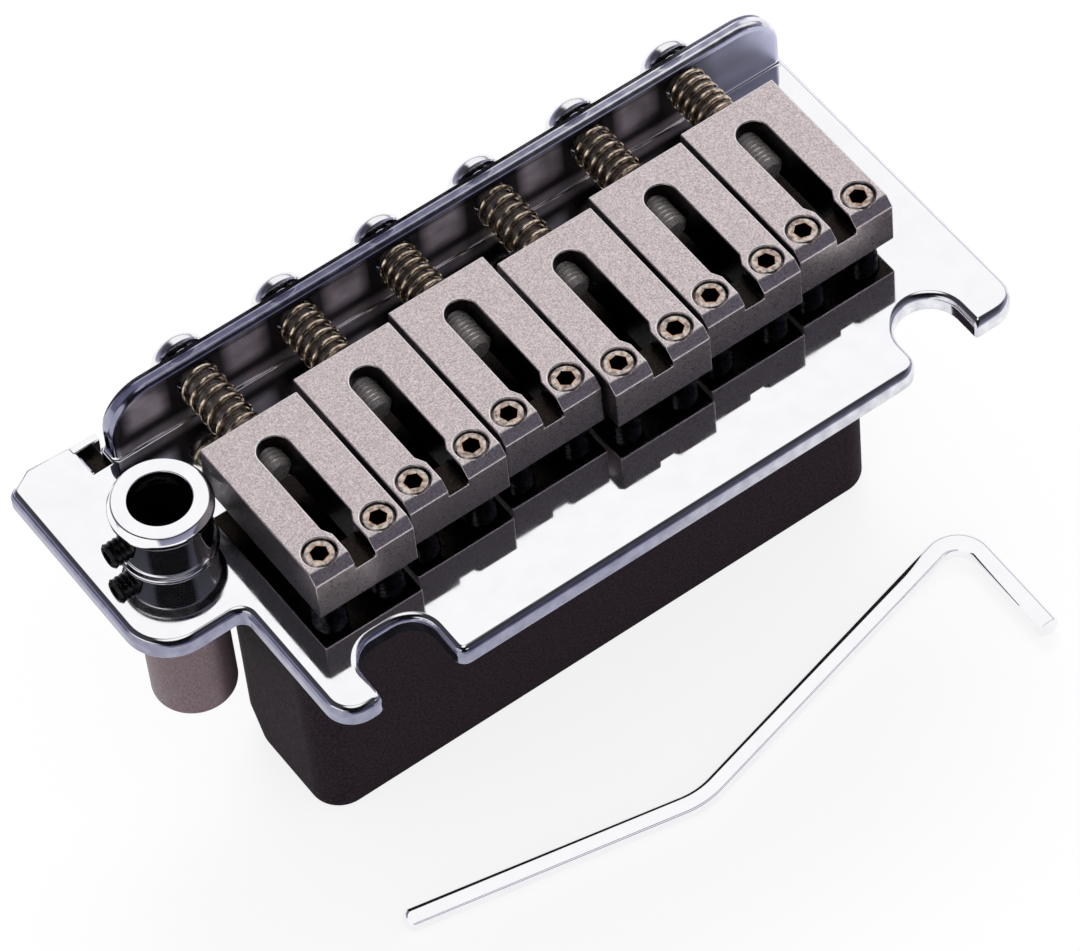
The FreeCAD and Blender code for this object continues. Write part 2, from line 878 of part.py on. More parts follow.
def make_arm_bush():
    """Plain bush in the sleeve that the arm's stub turns in."""
    bush = doc.addObject("Part::Cut", "arm_bush")
    bush.Label = "arm_bush"
    shell = doc.addObject("Part::Cylinder", "bush_outside")
    bore = doc.addObject("Part::Cylinder", "bush_bore")
    low = -size("plate_thickness") - size("sleeve_length")
    long = -size("bush_drop") - low
    shell.setExpression("Radius", (size("sleeve_bore") / 2 - size("socket_clearance")).text)
    shell.setExpression("Height", long.text)
    bore.setExpression("Radius", (size("arm_diameter") / 2 + size("arm_clearance")).text)
    bore.setExpression("Height", (long + CUT_MARGIN * 2).text)
    bore.setExpression("Placement.Base.z", as_size(-CUT_MARGIN).text)
    bush.Base, bush.Tool = shell, bore
    place(bush, socket_x(), size("socket_y"), plate_top() + low)
    pieces.append(bush)


def make_tremolo_arm():
    """Round rod with an elbow and a stub bend, laid flat on the surface that the block stands on."""
    body = new_body("tremolo_arm")
    radius = size("arm_diameter") / 2
    spine = new_sketch(body, "arm_line", "XY_Plane")
    spot = FreeCAD.Vector(0, 0, 0)
    heading = 0.0
    runs = ("arm_handle", "arm_shaft", "arm_stub")
    bends = (("arm_elbow_radius", "arm_elbow_angle", 1), ("arm_bend_radius", "arm_bend_angle", -1))
    chain = []
    for index, run in enumerate(runs):
        way = FreeCAD.Vector(math.cos(heading), math.sin(heading), 0)
        end = spot + way * size(run).value
        line = spine.addGeometry(Part.LineSegment(spot, end), False)
        bind(spine, "Distance", line, size(run))
        chain.append((line, 1, 2))
        spot = end
        if index < len(bends):
            bend, angle, sense = bends[index]
            sweep = math.radians(size(angle).value) * sense
            across = FreeCAD.Vector(-way.y, way.x, 0) * sense
            centre = spot + across * size(bend).value
            first = math.atan2(-across.y, -across.x)
            low, high = sorted((first, first + sweep))
            ring = Part.Circle(centre, FreeCAD.Vector(0, 0, 1), size(bend).value)
            arc = spine.addGeometry(Part.ArcOfCircle(ring, low, high), False)
            bind(spine, "Radius", arc, size(bend))
            chain.append((arc, 1, 2) if sense > 0 else (arc, 2, 1))
            outward = FreeCAD.Vector(math.cos(first + sweep), math.sin(first + sweep), 0)
            spot = centre + outward * size(bend).value
            heading += sweep
    for (one, _, tail), (two, head, _) in zip(chain, chain[1:]):
        spine.addConstraint(Sketcher.Constraint("Tangent", one, tail, two, head))
    spine.addConstraint(Sketcher.Constraint("Coincident", chain[0][0], 1, -1, 1))
    spine.addConstraint(Sketcher.Constraint("Horizontal", chain[0][0]))
    lines = chain[0::2]
    angles = ("arm_elbow_angle", "arm_bend_angle")
    for (one, _, _), (two, _, _), angle, sense in zip(lines, lines[1:], angles, (1, -1)):
        bound = Size(math.radians(size(angle).value) * sense, (size(angle) * sense).text + " * 1 deg")
        bind(spine, "Angle", one, 1, two, 1, bound)
    section = new_sketch(body, "arm_section", "YZ_Plane")
    circle(section, as_size(0), as_size(0), size("arm_diameter"))
    doc.recompute()
    rod = body.newObject("PartDesign::AdditivePipe", "rod")
    rod.Profile = section
    rod.Spine = (spine, [])
    doc.recompute()
    stub_end = spine.Shape.Vertexes[-1].Point

    def tip(edge):
        return near(edge.BoundBox.XMax, 0)

    def butt(edge):
        return edge.Closed and (edge.CenterOfMass - stub_end).Length < radius.value

    soften(body, "arm_tip", size("arm_tip_bevel"), tip, kind="Chamfer")
    soften(body, "arm_butt", size("arm_end_bevel"), butt, kind="Chamfer")
    turned = FreeCAD.Rotation(FreeCAD.Vector(0, 0, 1), -size("arm_heading").value)
    body.Placement = FreeCAD.Placement(FreeCAD.Vector(), turned)
    place(body, -size("arm_tip_x"), -size("arm_tip_y"), radius)


def write_pieces():
    """Check every object and write one file for each piece."""
    doc.recompute()
    for item in doc.Objects:
        if any(flag in ("Invalid", "Error") for flag in item.State):
            raise RuntimeError(f"{item.Label} failed: {item.State}")
    os.makedirs("parts", exist_ok=True)
    for piece in pieces:
        shape = piece.Shape
        if shape.isNull() or not shape.isValid():
            raise RuntimeError(f"{piece.Label} has no valid shape")
    for piece in pieces:
        piece.Shape.exportStep(f"parts/{piece.Label}.step")
        print(f"{piece.Label}: {len(piece.Shape.Solids)} solid, {piece.Shape.Volume:.1f} mm3")


fill_sheet()
plate = make_base_plate()
join_flange(plate, make_flange())
drill_base_plate(plate)
make_sustain_block()
make_arm_collar()
make_tension_screw()
make_socket_sleeve()
make_arm_bush()
for string in range(1, SIZES["string_count"] + 1):
    make_saddle(string)
    make_height_screw(string, "a", -1)
    make_height_screw(string, "b", 1)
    make_intonation_screw(string)
    make_intonation_spring(string)
make_tremolo_arm()
write_pieces()
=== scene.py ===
"""Looks of a two-point guitar tremolo bridge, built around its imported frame, in its own metres."""
import logging
import math
from dataclasses import dataclass
from enum import Enum, IntEnum
from typing import Sequence

import bmesh
import bpy
from bmesh.types import BMEdge, BMesh, BMFace, BMVert
from bpy.types import Material, Node, NodeSocket, NodeTree, Object
from mathutils import Matrix, Vector


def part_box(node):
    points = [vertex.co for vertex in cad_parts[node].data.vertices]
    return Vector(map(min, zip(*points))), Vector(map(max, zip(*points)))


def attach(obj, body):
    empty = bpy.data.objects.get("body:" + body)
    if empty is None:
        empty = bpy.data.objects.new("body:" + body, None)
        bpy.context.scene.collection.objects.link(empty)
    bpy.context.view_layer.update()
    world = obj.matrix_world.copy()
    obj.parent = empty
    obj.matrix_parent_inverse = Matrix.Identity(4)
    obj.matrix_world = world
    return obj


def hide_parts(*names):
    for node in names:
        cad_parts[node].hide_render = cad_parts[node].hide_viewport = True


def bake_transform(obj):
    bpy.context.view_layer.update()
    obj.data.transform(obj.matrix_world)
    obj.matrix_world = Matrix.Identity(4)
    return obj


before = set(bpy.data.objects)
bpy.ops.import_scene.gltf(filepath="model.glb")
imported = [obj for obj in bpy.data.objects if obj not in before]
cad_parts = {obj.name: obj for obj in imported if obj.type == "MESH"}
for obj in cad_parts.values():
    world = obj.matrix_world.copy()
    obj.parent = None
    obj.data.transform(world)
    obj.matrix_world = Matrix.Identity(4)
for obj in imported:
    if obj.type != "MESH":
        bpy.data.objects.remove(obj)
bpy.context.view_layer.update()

log = logging.getLogger("bridge")

Range = tuple[float, float]
Colour = tuple[float, float, float]
Spot = tuple[float, float, float]
Corners = Sequence[tuple[float, float]]

MM = 0.001
STRINGS = range(1, 7)
MERGE = 1e-7
FLAT_TURN = math.radians(1.0)
SHARP_TURN = math.radians(28.0)
BROAD_CREASE = 50.0
ROUNDED = "rounded"
WHITE = (1.0, 1.0, 1.0)
X_WAY = Vector((1, 0, 0))
Y_WAY = Vector((0, 1, 0))
Z_WAY = Vector((0, 0, 1))

# Flat faces of this many corners are filled anew, and count as one plane where their normals and
# levels round to the same steps.
MANY_CORNERS = 5
WAY_STEPS = 100
LEVEL_STEPS = 1e5

# Most of a noise lies between these two values.
NOISE_MIDDLE = (0.3, 0.7)


class Slot(Enum):
    """Material slots of the record."""

    PLATE = "plate_chrome"
    ARM = "arm_chrome"
    SCREW = "screw_chrome"
    SET_SCREW = "screw_steel"
    SPRING = "spring_steel"
    SADDLE = "saddle_satin"
    BLOCK = "block_black"
    SLEEVE = "sleeve_grey"
    BUSH = "bush_plastic"


class Side(Enum):
    """Sides of a saddle, as its two height screws are named."""

    TREBLE = "a"
    BASS = "b"


class PlateSkin(IntEnum):
    """Order of the plate's finishes."""

    CHROME = 0
    RIM = 1
    # painted shade and painted reflections on the flange's inner face
    PAINTED_REFLECTION = 2
    # painted shade under the bend's relief
    CUT = 3


class SaddleSkin(IntEnum):
    """Order of a saddle's finishes."""

    BLASTED = 0
    # painted shade in the slot, the groove and underneath
    CUT = 1
    # painted highlight on the top's rims
    PAINTED_HIGHLIGHT = 2
    # painted shade on the left sides
    SIDE = 3


class ScrewSkin(IntEnum):
    """Order of a domed screw's finishes."""

    CHROME = 0
    # painted shade on the shaft and in the recess
    SHADED_SHAFT = 1
    TIP = 2


class Wiring:
    """A node tree, added to and joined in a few words."""

    def __init__(self, tree: NodeTree) -> None:
        """Take the tree and add its coordinates."""
        self.tree = tree
        self.coordinates = self.node("TexCoord")

    def node(self, kind: str, **settings: object) -> Node:
        """Add a node.

        Args:
            kind: Its kind.
            settings: Its settings by name.

        Returns:
            The node.
        """
        node = self.tree.nodes.new(f"ShaderNode{kind}")
        for name, value in settings.items():
            setattr(node, name, value)
        return node

    def join(self, source: NodeSocket, target: NodeSocket) -> None:
        """Link one socket to another."""
        self.tree.links.new(source, target)

    def feed(self, node: Node, **inputs: NodeSocket | Colour | float) -> None:
        """Link sockets to a node's inputs, or set plain values on them.

        Args:
            node: The node.
            inputs: A socket or a value for each input, with underscores for the spaces in its name.
        """
        for name, value in inputs.items():
            socket = node.inputs[name.replace("_", " ")]
            if isinstance(value, NodeSocket):
                self.join(value, socket)
            elif socket.type == "RGBA":
                socket.default_value = (*value, 1.0)
            else:
                socket.default_value = value

    def axis(self, place: NodeSocket, name: str) -> NodeSocket:
        """One part of a place.

        Args:
            place: The place.
            name: The axis, X, Y or Z.

        Returns:
            The place along that axis.
        """
        node = self.node("SeparateXYZ")
        self.feed(node, Vector=place)
        return node.outputs[name]

    def scale(self, value: NodeSocket, come: Range, go: Range) -> NodeSocket:
        """Map a value from one range to another, held at both ends.

        Args:
            value: The value.
            come: The range that it comes from.
            go: The range that it goes to.

        Returns:
            The mapped value.
        """
        node = self.node("MapRange")
        (low, high), (start, end) = come, go
        self.feed(node, Value=value, From_Min=low, From_Max=high, To_Min=start, To_Max=end)
        return node.outputs["Result"]

    def math(self, operation: str, one: NodeSocket, other: NodeSocket | float) -> NodeSocket:
        """A sum of two values.

        Args:
            operation: What is done with them.
            one: The first value.
            other: The second value, or a plain number.

        Returns:
            The result.
        """
        node = self.node("Math", operation=operation)
        self.join(one, node.inputs[0])
        if isinstance(other, float):
            node.inputs[1].default_value = other
        else:
            self.join(other, node.inputs[1])
        return node.outputs[0]

    def most(self, *values: NodeSocket) -> NodeSocket:
        """The greatest of some values.

        Args:
            values: The values.

        Returns:
            The greatest.
        """
        best = values[0]
        for value in values[1:]:
            best = self.math("MAXIMUM", best, value)
        return best

    def ramp(
        self, factor: NodeSocket, places: Sequence[float], colours: Sequence[Colour]
    ) -> NodeSocket:
        """Colours along a factor.

        Args:
            factor: The factor to colour.
            places: Places along it, in order.
            colours: The colour at each place.

        Returns:
            The colour.
        """
        low, high = places[0], places[-1]
        node = self.node("ValToRGB")
        steps = node.color_ramp.elements
        while len(steps) < len(places):
            steps.new(1.0)
        for step, place, colour in zip(steps, places, colours):
            step.position = (place - low) / (high - low)
            step.color = (*colour, 1.0)
        self.feed(node, Fac=self.scale(factor, (low, high), (0, 1)))
        return node.outputs["Color"]

    def mix(
        self,
        share: NodeSocket | float,
        one: NodeSocket | Colour,
        other: NodeSocket | Colour,
        blend: str = "MIX",
    ) -> NodeSocket:
        """Two colours put together.

        Args:
            share: Share of the second colour.
            one: The first colour.
            other: The second colour.
            blend: How they are put together.

        Returns:
            The colour.
        """
        node = self.node("MixRGB", blend_type=blend)
        self.feed(node, Fac=share, Color1=one, Color2=other)
        return node.outputs["Color"]


@dataclass(frozen=True)
class Grain:
    """A noise: width of one grain in millimetres, number of finer layers, scale along each axis."""

    size: float
    detail: float
    stretch: Spot = (1.0, 1.0, 1.0)


@dataclass(frozen=True)
class Shade:
    """A change of colour between two places along an axis of the object."""

    axis: str
    places: Range
    colours: tuple[Colour, Colour]


class Graph(Wiring):
    """Nodes of one material."""

    def __init__(self, name: str) -> None:
        """Start a material with its shader and object coordinates.

        Args:
            name: Name of the material.
        """
        self.material = bpy.data.materials.new(name)
        self.material.use_nodes = True
        super().__init__(self.material.node_tree)
        self.shader = self.tree.nodes["Principled BSDF"]
        self.surface = self.tree.nodes["Material Output"].inputs["Surface"]
        self.place = self.coordinates.outputs["Object"]
        self.patterns: dict[Grain, NodeSocket] = {}

    def noise(self, grain: Grain) -> NodeSocket:
        """A noise pattern, made once for each grain.

        Args:
            grain: Its grain.

        Returns:
            The pattern's factor.
        """
        if grain not in self.patterns:
            mapping = self.node("Mapping")
            self.feed(mapping, Vector=self.place, Scale=grain.stretch)
            node = self.node("TexNoise")
            self.feed(node, Scale=1 / (grain.size * MM), Detail=grain.detail)
            self.feed(node, Vector=mapping.outputs["Vector"])
            self.patterns[grain] = node.outputs["Fac"]
        return self.patterns[grain]

    def spread(self, grain: Grain, low: float, high: float) -> NodeSocket:
        """Values that follow a noise pattern from low to high."""
        return self.scale(self.noise(grain), NOISE_MIDDLE, (low, high))

    def shaded(self, shade: Shade) -> NodeSocket:
        """Colours along an axis of the object."""
        return self.ramp(self.axis(self.place, shade.axis), shade.places, shade.colours)

    def bump(self, grain: Grain, depth: float, strength: float) -> None:
        """Raise the surface by a noise pattern.

        Args:
            grain: Its grain.
            depth: Depth in millimetres.
            strength: Share of it that shows.
        """
        node = self.node("Bump")
        self.feed(node, Distance=depth * MM, Strength=strength, Height=self.noise(grain))
        self.feed(self.shader, Normal=node.outputs["Normal"])


@dataclass(frozen=True)
class Finish:
    """A finish: a ground with flecks that follow a grain, a shine that varies, and a fine relief."""

    name: str
    ground: Colour
    fleck: Colour
    smooth: float
    rough: float
    grain: Grain
    shine_grain: Grain
    metal: float = 1.0
    specular: float = 0.5
    stops: Range = NOISE_MIDDLE
    relief_grain: Grain | None = None
    depth: float = 0.0
    strength: float = 0.4
    shade: Shade | None = None

    def colour(self, graph: Graph) -> NodeSocket:
        """The ground and its flecks, shaded along an axis where the finish has a shade.

        Args:
            graph: Nodes of the material.

        Returns:
            The colour.
        """
        colour = graph.ramp(graph.noise(self.grain), self.stops, (self.ground, self.fleck))
        if self.shade:
            colour = graph.mix(1.0, colour, graph.shaded(self.shade), "MULTIPLY")
        return colour

    def material(self) -> Material:
        """The finish as a material.

        Returns:
            The material.
        """
        graph = Graph(self.name)
        shine = graph.spread(self.shine_grain, self.smooth, self.rough)
        graph.feed(graph.shader, Base_Color=self.colour(graph), Roughness=shine)
        graph.feed(graph.shader, Metallic=self.metal, Specular_IOR_Level=self.specular)
        if self.relief_grain:
            graph.bump(self.relief_grain, self.depth, self.strength)
        return graph.material


@dataclass(frozen=True)
class Chrome(Finish):
    """Bright plating: a mirror with a faint haze and a trace of waviness."""

    ground: Colour = (0.95, 0.95, 0.97)
    fleck: Colour = (0.91, 0.91, 0.94)
    smooth: float = 0.03
    rough: float = 0.09
    grain: Grain = Grain(2.2, 5.0)
    stops: Range = (0.3, 0.75)
    shine_grain: Grain = Grain(2.2, 5.0)
    relief_grain: Grain = Grain(1.6, 1.0)
    depth: float = 0.0006
    strength: float = 1.0


@dataclass(frozen=True)
class RimReflectionPaint(Finish):
    """Plating on the plate's cut rims with a painted reflection: bluish and dull on the arm's side,
    brighter on the other.
    """

    ground: Colour = (0.66, 0.66, 0.7)
    fleck: Colour = WHITE
    smooth: float = 0.08
    rough: float = 0.2
    grain: Grain = Grain(1.2, 5.0)
    shine_grain: Grain = Grain(1.2, 5.0)
    # Painted reflection: the rims darker and bluer towards the arm's side.
    shade: Shade = Shade("X", (-6.0 * MM, 26.0 * MM), ((0.36, 0.36, 0.47), (0.90, 0.90, 0.94)))


@dataclass(frozen=True)
class FlangeReflectionPaint(Finish):
    """Plating behind the saddles with painted shade and painted reflections: black beside the springs,
    grey between.
    """

    ground: Colour = (0.022, 0.018, 0.023)
    fleck: Colour = (0.78, 0.69, 0.80)
    smooth: float = 0.3
    rough: float = 0.5
    metal: float = 0.75
    grain: Grain = Grain(3.6, 3.0, (1.0, 1.0, 1.5))
    shine_grain: Grain = Grain(3.6, 3.0, (1.0, 1.0, 1.5))
    shade: Shade = Shade("X", (26.0 * MM, 30.0 * MM), ((0.0, 0.0, 0.0), WHITE))
    end: Colour = (0.60, 0.61, 0.80)
    half_pitch: float = 5.25 * MM
    patch_edge: Range = (1.3 * MM, 2.6 * MM)
    patch_foot: Range = (38.2 * MM, 39.4 * MM)
    patch_head: Range = (42.0 * MM, 43.2 * MM)
    patch_least: float = 0.35
    foot_edge: Range = (36.9 * MM, 37.7 * MM)
    foot_share: float = 0.7

    def colour(self, graph: Graph) -> NodeSocket:
        """Painted reflections: grey patches between the springs and along the foot, and a pale bluish
        painted reflection at the bass end.

        Args:
            graph: Nodes of the material.

        Returns:
            The colour.
        """
        # Painted shade and painted reflections laid out by place: dark beside the springs, grey between
        # them and along the foot.
        level = graph.axis(graph.place, "Z")
        aside = graph.math("PINGPONG", graph.axis(graph.place, "X"), self.half_pitch)
        patch = graph.scale(aside, self.patch_edge, (1, 0))
        patch = graph.math("MULTIPLY", patch, graph.scale(level, self.patch_foot, (0, 1)))
        patch = graph.math("MULTIPLY", patch, graph.scale(level, self.patch_head, (1, 0)))
        foot = graph.scale(level, self.foot_edge, (self.foot_share, 0))
        mottle = graph.spread(self.grain, self.patch_least, 1.0)
        shine = graph.math("MULTIPLY", graph.most(patch, foot), mottle)
        middle = graph.ramp(shine, (0.0, 1.0), (self.ground, self.fleck))
        return graph.mix(graph.shaded(self.shade), middle, self.end)


@dataclass(frozen=True)
class BlastedSteel(Finish):
    """Satin steel with the fine grain of bead blasting."""

    ground: Colour = (0.40, 0.345, 0.35)
    fleck: Colour = (0.80, 0.70, 0.71)
    smooth: float = 0.26
    rough: float = 0.36
    grain: Grain = Grain(0.15, 4.0)
    stops: Range = (0.32, 0.68)
    shine_grain: Grain = Grain(0.4, 4.0)
    relief_grain: Grain = Grain(0.15, 4.0)
    depth: float = 0.02
    strength: float = 0.45


@dataclass(frozen=True)
class DarkSteel(Finish):
    """Oiled screw steel with worn bright spots."""

    ground: Colour = (0.24, 0.22, 0.22)
    fleck: Colour = (0.62, 0.58, 0.55)
    smooth: float = 0.16
    rough: float = 0.36
    grain: Grain = Grain(0.5, 5.0)
    stops: Range = (0.35, 0.65)
    shine_grain: Grain = Grain(0.9, 3.0)
    relief_grain: Grain = Grain(0.12, 2.0)
    depth: float = 0.006


@dataclass(frozen=True)
class LegShadeSteel(DarkSteel):
    """Screw steel with bright worn flecks, black with painted shade further down, in the gap under the
    saddle.
    """

    ground: Colour = (0.3, 0.27, 0.26)
    fleck: Colour = WHITE
    smooth: float = 0.14
    rough: float = 0.34
    stops: Range = (0.35, 0.6)
    # Painted shade: darker towards the foot, in the gap under the saddle.
    shade: Shade = Shade("Z", (41.0 * MM, 42.6 * MM), ((0.03, 0.028, 0.032), (0.66, 0.59, 0.54)))


@dataclass(frozen=True)
class BlackCoat(Finish):
    """Fine-grained black coat of the cast block."""

    ground: Colour = (0.007, 0.0045, 0.0063)
    fleck: Colour = (0.028, 0.0175, 0.0255)
    smooth: float = 0.5
    rough: float = 0.6
    metal: float = 0.0
    specular: float = 0.02
    grain: Grain = Grain(0.24, 4.0)
    shine_grain: Grain = Grain(0.5, 3.0)
    relief_grain: Grain = Grain(0.24, 4.0)
    depth: float = 0.02


@dataclass(frozen=True)
class SatinBrown(Finish):
    """Warm brown-grey satin of the socket barrel, turned on a lathe, with painted shade that makes it
    dark inside the collar.
    """

    ground: Colour = (0.105, 0.072, 0.082)
    fleck: Colour = (0.215, 0.150, 0.172)
    smooth: float = 0.38
    rough: float = 0.55
    metal: float = 0.75
    grain: Grain = Grain(0.16, 3.0)
    shine_grain: Grain = Grain(0.3, 3.0)
    relief_grain: Grain = Grain(0.9, 4.0, (0.05, 0.05, 5.0))
    depth: float = 0.01
    strength: float = 0.3
    # Painted shade: dark above the plate's underside, where the neck runs inside the plate and collar.
    shade: Shade = Shade("Z", (34.0 * MM, 34.2 * MM), (WHITE, (0.01, 0.009, 0.009)))


@dataclass(frozen=True)
class DarkPlastic(Finish):
    """Moulded dark plastic of the bush."""

    ground: Colour = (0.006, 0.006, 0.007)
    fleck: Colour = (0.014, 0.013, 0.014)
    smooth: float = 0.5
    rough: float = 0.65
    metal: float = 0.0
    grain: Grain = Grain(0.6, 3.0)
    shine_grain: Grain = Grain(0.6, 3.0)


def sharp_edges(bm: BMesh, least: float = SHARP_TURN) -> list[BMEdge]:
    """Edges where two faces meet at more than an angle in radians."""
    return [e for e in bm.edges if len(e.link_faces) == 2 and e.calc_face_angle(0.0) > least]


def open_edges(bm: BMesh) -> list[BMEdge]:
    """Edges that have a face on one side only."""
    return [edge for edge in bm.edges if edge.is_boundary]


def edges_of(verts: Sequence[BMVert]) -> list[BMEdge]:
    """All edges at some corners, each once."""
    return list({edge for vert in verts for edge in vert.link_edges})


def merge(bm: BMesh) -> None:
    """Merge the corners that lie on each other."""
    bmesh.ops.remove_doubles(bm, verts=bm.verts[:], dist=MERGE)


def face_outwards(bm: BMesh) -> None:
    """Turn all faces outwards."""
    bmesh.ops.recalc_face_normals(bm, faces=bm.faces[:])


def soften(bm: BMesh, edges: Sequence[BMEdge], width: float, segments: int) -> None:
    """Round some edges, and mark the rounding in a mesh that has marks for it.

    Args:
        bm: The mesh.
        edges: The edges to round.
        width: Width of the rounding in metres.
        segments: Number of faces across it.
    """
    rounded = bmesh.ops.bevel(
        bm,
        geom=list(edges),
        offset=width,
        offset_type="OFFSET",
        affect="EDGES",
        segments=segments,
        profile=0.5,
        material=-1,
        clamp_overlap=False,
    )["faces"]
    mark = bm.faces.layers.int.get(ROUNDED)
    if mark:
        for face in rounded:
            face[mark] = 1


def refill(bm: BMesh) -> None:
    """Fill the flat faces of many corners anew, because rounding can leave their outlines crossed.

    Args:
        bm: The mesh.
    """
    planes: dict[tuple[int, ...], list[BMFace]] = {}
    mark = bm.faces.layers.int.get(ROUNDED)
    for face in bm.faces:
        flat = not (mark and face[mark])
        if flat and len(face.verts) >= MANY_CORNERS:
            level = face.normal.dot(face.verts[0].co)
            key = (*(round(part * WAY_STEPS) for part in face.normal), round(level * LEVEL_STEPS))
            planes.setdefault(key, []).append(face)
    for faces in planes.values():
        way = faces[0].normal.copy()
        inside = set(faces)
        around = {edge for face in faces for edge in face.edges}
        rims = [e for e in around if sum(loop.face in inside for loop in e.link_loops) == 1]
        bmesh.ops.delete(bm, geom=faces, context="FACES")
        filled = bmesh.ops.triangle_fill(
            bm, use_beauty=True, use_dissolve=False, edges=rims, normal=way
        )["geom"]
        for item in filled:
            if isinstance(item, BMFace):
                item.normal_update()
                if item.normal.dot(way) < 0:
                    item.normal_flip()


def corner_normals(bm: BMesh, crease: float) -> list[Vector]:
    """Normals that keep flat faces flat up to their rounded edges.

    Args:
        bm: The mesh, its rounded faces marked.
        crease: Angle in radians above which two faces don't blend.

    Returns:
        One normal for each corner of each face, zero where the usual one serves.
    """
    mark = bm.faces.layers.int[ROUNDED]
    bm.normal_update()
    normals = []
    for face in bm.faces:
        for loop in face.loops:
            way = Vector()
            for other in loop.vert.link_faces:
                if not other[mark] and face.normal.angle(other.normal, math.pi) < crease:
                    way += other.normal * other.calc_area()
            normals.append(way.normalized())
    return normals


def lathe(bm: BMesh, profile: Corners, steps: int, closed: bool = False) -> None:
    """Turn a profile about Z and add it to a mesh.

    Args:
        bm: The mesh.
        profile: Radius and height of each corner, in metres.
        steps: Number of faces around.
        closed: True where the profile returns to its first corner.
    """
    spots = [bm.verts.new((radius, 0, height)) for radius, height in profile]
    pairs = list(zip(spots, spots[1:]))
    if closed:
        pairs.append((spots[-1], spots[0]))
    edges = [bm.edges.new(pair) for pair in pairs]
    bmesh.ops.spin(
        bm,
        geom=spots + edges,
        cent=(0, 0, 0),
        axis=Z_WAY,
        dvec=(0, 0, 0),
        angle=math.tau,
        steps=steps,
        use_merge=True,
    )
    merge(bm)
    face_outwards(bm)


def sink_drive(bm: BMesh, corners: Corners, height: float, depth: float, taper: float) -> None:
    """Close a turned screw's open end with a drive that a key or driver fits.

    Args:
        bm: The screw's mesh, with one open ring.
        corners: The drive's outline.
        height: Height of the outline.
        depth: Depth of the drive.
        taper: Size of the drive's floor, as a share of its outline.
    """
    rim = open_edges(bm)
    spots = [bm.verts.new((x, y, height)) for x, y in corners]
    sides = [bm.edges.new(pair) for pair in zip(spots, spots[1:] + spots[:1])]
    cut = bmesh.ops.subdivide_edges(bm, edges=sides, cuts=len(rim) // len(corners) - 1)
    mouth = list(set(sides) | {item for item in cut["geom"] if isinstance(item, BMEdge)})
    bmesh.ops.bridge_loops(bm, edges=rim + mouth)
    walls = bmesh.ops.extrude_edge_only(bm, edges=mouth)["geom"]
    floor = [item for item in walls if isinstance(item, BMVert)]
    bmesh.ops.translate(bm, verts=floor, vec=(0, 0, -depth))
    bmesh.ops.scale(bm, verts=floor, vec=(taper, taper, 1))
    bmesh.ops.holes_fill(bm, edges=open_edges(bm))
    face_outwards(bm)
    refill(bm)


def cad_copy(node: str) -> BMesh:
    """A merged copy of a CAD node's mesh, with flat faces joined.

    Args:
        node: The CAD node.

    Returns:
        The copy, free to be changed.
    """
    bm = bmesh.new()
    bm.from_mesh(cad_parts[node].data)
    bm.faces.layers.int.new(ROUNDED)
    merge(bm)
    bmesh.ops.dissolve_limit(
        bm,
        angle_limit=FLAT_TURN,
        use_dissolve_boundaries=False,
        verts=bm.verts[:],
        edges=bm.edges[:],
    )
    return bm


@dataclass(frozen=True)
class Fitting:
    """Where a finished piece belongs: its body, the node it stands for, and its slot, which is not
    used.
    """

    body: str
    node: str
    slot: Slot

    def present(
        self,
        bm: BMesh,
        name: str,
        *materials: Material,
        crease: float = 32.0,
        weighted: bool = False,
    ) -> Object:
        """Turn a mesh into a finished piece in place of its CAD node.

        Args:
            bm: The mesh, which is used up.
            name: Name of the piece.
            materials: Its materials.
            crease: Angle in degrees above which an edge stays sharp.
            weighted: True where large flat faces keep their own normals.

        Returns:
            The piece.
        """
        turn = math.radians(crease)
        mesh = bpy.data.meshes.new(name)
        normals = corner_normals(bm, turn) if weighted else []
        bm.to_mesh(mesh)
        bm.free()
        mesh.polygons.foreach_set("use_smooth", [True] * len(mesh.polygons))
        mesh.set_sharp_from_angle(angle=turn)
        for material in materials:
            mesh.materials.append(material)
        piece = bpy.data.objects.new(name, mesh)
        bpy.context.scene.collection.objects.link(piece)
        if weighted:
            mesh.normals_split_custom_set(normals)
        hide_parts(self.node)
        log.info("%s stands for %s", name, self.node)
        return piece

    def ride(self, *args: object, **options: object) -> Object:
        """Present a piece and let it ride on its body."""
        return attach(self.present(*args, **options), self.body)


